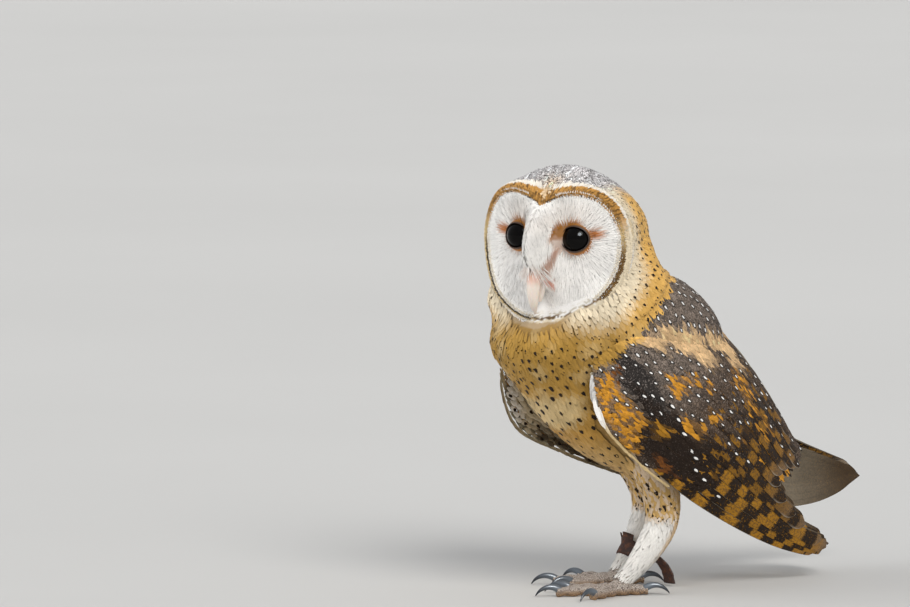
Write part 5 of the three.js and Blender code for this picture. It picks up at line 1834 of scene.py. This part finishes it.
def add_lids(material):
    """Both eyes' lids: a bare dark rim round an almond opening, on a sphere just outside the eyeball."""
    across_half, up_half, outer_half = 9.9, 8.2, 12.2
    rings, columns = 9, 72
    pieces = []
    for side in (1, -1):
        ahead, across = eye_axes(side)
        a = full_turn(columns)[None]
        share = np.linspace(0, 1, rings)[:, None]
        lift = 1 + 0.06 * np.cos(a - math.pi / 2 + 0.6)
        inner = across_half * up_half * lift / np.hypot(up_half * np.cos(a), across_half * np.sin(a))
        reach = inner + (outer_half - inner) * share
        rims = []
        for radius in (EYE_RADIUS + 0.75, EYE_RADIUS + 0.15):
            rounded = radius + 0.25 * np.exp(-((share / 0.12) ** 2)) * (radius > EYE_RADIUS + 0.5)
            f = np.sqrt(np.maximum(rounded**2 - np.minimum(reach, radius - 0.4) ** 2, 0.3))
            x, z = reach * np.cos(a), reach * np.sin(a)
            rims.append(eye_middle(side) + x[..., None] * across + z[..., None] * UP + f[..., None] * ahead)
        grid = np.concatenate([rims[0], rims[1][::-1]])
        shade = np.concatenate([share, share[::-1]]) + 0 * a
        olive = ease(np.sin(a - 0.5), 0.0, 0.6) + 0 * shade
        outer = blend(EYE_ORANGE, LID_OLIVE, olive.ravel())
        colours = blend(LID_BROWN, outer, ease(shade.ravel(), 0.15, 0.5))
        pieces.append((grid, colours))
    vertices = np.concatenate([g.reshape(-1, 3) for g, _ in pieces])
    faces = np.concatenate([ring_faces(2 * rings, columns) + k * 2 * rings * columns for k in range(2)])
    thing = add_mesh("eyelids", vertices, faces, material)
    tint_points(thing, np.concatenate([c for _, c in pieces]))
    unwrap(thing)
    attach(thing, "root")


ANKLET_ALONG, ANKLET_HEIGHT, ANKLET_INNER, ANKLET_OUTER, ANKLET_FLARE = 4.7 / 6, 14.0, 6.6, 8.4, 12.5
ANKLET_NOTCHES = 5
STRAP_WIDTH, STRAP_THICK = 13.0, 2.0
STRAP_ROUTE = smooth([[-9.5, 29, 20], [-5, 31.5, 21], [0, 37, 18.5], [3.5, 42, 11], [4, 44.5, 2]])


def leather():
    """Worn dark leather: fine grain, creases and paler rubbed patches."""
    g = Graph("leather", roughness=0.55, Specular_IOR_Level=0.35)
    grain = g.cells(1800.0)
    crease = g.noise(350.0, 5.0, 0.6)
    tint = g.attribute("tint", 0)
    g.colour(g.mix(g.step(crease, 0.45, 0.7), tint, (*LEATHER_EDGE, 1)))
    g.put(g.shader.inputs["Roughness"], g.step(crease, 0.3, 0.7, 0.42, 0.7))
    g.bump(g.plus(grain, g.times(crease, 2.0)), 0.0002)
    return g.material


def add_anklet(material):
    """A leather cuff with a notched, flared upper edge round the right shank."""
    leg = smooth(LEG_PATHS[-1])
    middle = leg(ANKLET_ALONG)
    up = unit(leg(ANKLET_ALONG - 0.02) - leg(ANKLET_ALONG + 0.02))
    out = unit(np.cross(up, [0, 1, 0]))
    over = np.cross(up, out)
    profile_h = np.array([-0.5, -0.5, -0.4, 0.05, 0.3, 0.5, 0.5, 0.28, 0.03, -0.4])
    profile_r = np.array([
        ANKLET_INNER, ANKLET_OUTER - 0.3, ANKLET_OUTER, ANKLET_OUTER, ANKLET_OUTER + 1.8,
        ANKLET_FLARE, ANKLET_FLARE - 1.2, ANKLET_OUTER + 0.6, ANKLET_INNER + 0.2, ANKLET_INNER,
    ])
    a = full_turn(180)
    notch = ease(np.cos(a * ANKLET_NOTCHES), 0.5, 0.75)[:, None]
    height = profile_h[None] * ANKLET_HEIGHT
    height = height - notch * np.maximum(0, profile_h - 0.22)[None] * 11
    radius = profile_r[None] - notch * np.maximum(0, profile_h - 0.22)[None] * 9
    spoke = np.cos(a)[:, None, None] * out + np.sin(a)[:, None, None] * over
    ring = middle + radius[..., None] * spoke + height[..., None] * up
    faces = ring_faces(*ring.shape[:2])
    return add_mesh("anklet_leather_right", ring.reshape(-1, 3), faces, material), "anklet_right"


def add_strap(material):
    """The short leather strap that hangs behind the anklet and curls down to the floor."""
    t = np.linspace(0, 1, 60)
    line = STRAP_ROUTE(t)
    ahead = unit(np.gradient(line, axis=0))
    wide = np.broadcast_to([1.0, 0, 0], line.shape)
    wide = unit(wide - ahead * (wide * ahead).sum(1, keepdims=True))
    thick = np.cross(wide, ahead)
    a = full_turn(32)
    corner = np.sign(np.cos(a)) * np.abs(np.cos(a)) ** 0.5, np.sign(np.sin(a)) * np.abs(np.sin(a)) ** 0.7
    ripple = 1 + 0.04 * np.sin(t * 40)[:, None]
    sideways = (corner[0] * STRAP_WIDTH / 2 * ripple)[..., None] * wide[:, None]
    ring = line[:, None] + sideways + (corner[1] * STRAP_THICK / 2)[None, :, None] * thick[:, None]
    ring[..., 2] = np.maximum(ring[..., 2], 0.1)
    return add_mesh("strap_leather_right", *closed_tube(ring), material), "strap_right"


def add_worn_gear():
    """The leather anklet and its strap."""
    material = leather()
    for make in (add_anklet, add_strap):
        thing, node = make(material)
        points = owl_points(thing.data)
        tint_points(thing, np.broadcast_to(LEATHER, points.shape))
        unwrap(thing)
        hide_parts(node)
        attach(thing, "root")


# ---------- assembly ----------

FLOOR_HALF = 10000  # from the floor's middle to its edges


def main():
    """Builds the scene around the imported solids."""
    scene = bpy.context.scene
    scene.view_settings.view_transform = "Standard"
    add_camera()
    world = bpy.data.worlds.new("studio")
    world.use_nodes = True
    world.node_tree.nodes["Background"].inputs[0].default_value = (0.94, 0.96, 1.0, 1)
    world.node_tree.nodes["Background"].inputs[1].default_value = 0.5
    scene.world = world
    add_light("key", (0.87, -0.12, 0.8), 32, 1.78, (1.0, 0.97, 0.93))
    glint = add_light("glint", (0.9, -0.2, 0.75), 22, 4.0, (0.85, 0.93, 1.0))
    glint.visible_diffuse = False
    fill = add_light("fill", (-0.5, -1.0, 0.45), 60, 1.5, (0.96, 0.98, 1.0))
    fill.visible_glossy = False
    corners = FLOOR_HALF * np.array([[-1, -1, 0], [1, -1, 0], [1, 1, 0], [-1, 1, 0]])
    floor = add_mesh("floor", corners, [(0, 1, 2, 3)], floor_paper(), False)

    skin = add_skin()
    unwrap(skin)
    places = skin_map(skin)
    skin.data.materials.append(painted("skin_under_feathers", 1200.0, 0.0002, 0.8))
    coats = [*torso_coats(), disc_coat(), ruff_coat(), leg_coat(), tail_coat()]
    for side, label in SIDES:
        coats += [wing_coat(side, label), flight_coat(side, label)]
    for coat in coats:
        thing = coat.build(places)
    paint_skin(skin, coats)
    eye = eye_black()
    add_lids(painted("eyelids", 1500.0, 0.0001, 0.5, 0.4))
    toe_skin = scaly("toe_skin")
    horn = painted("claw_horn", 900.0, 0.00005, 0.35, 0.2, Coat_Weight=0.3, Coat_Roughness=0.2)
    for side, label in SIDES:
        add_eye(side, label, eye)
        add_foot(side, label, toe_skin)
        for toe in TOES:
            add_claw(side, label, toe, horn)
    add_bill(painted("bill_horn", 700.0, 0.00005, 0.4, 0.15, Subsurface_Weight=0.15))
    add_worn_gear()


main()
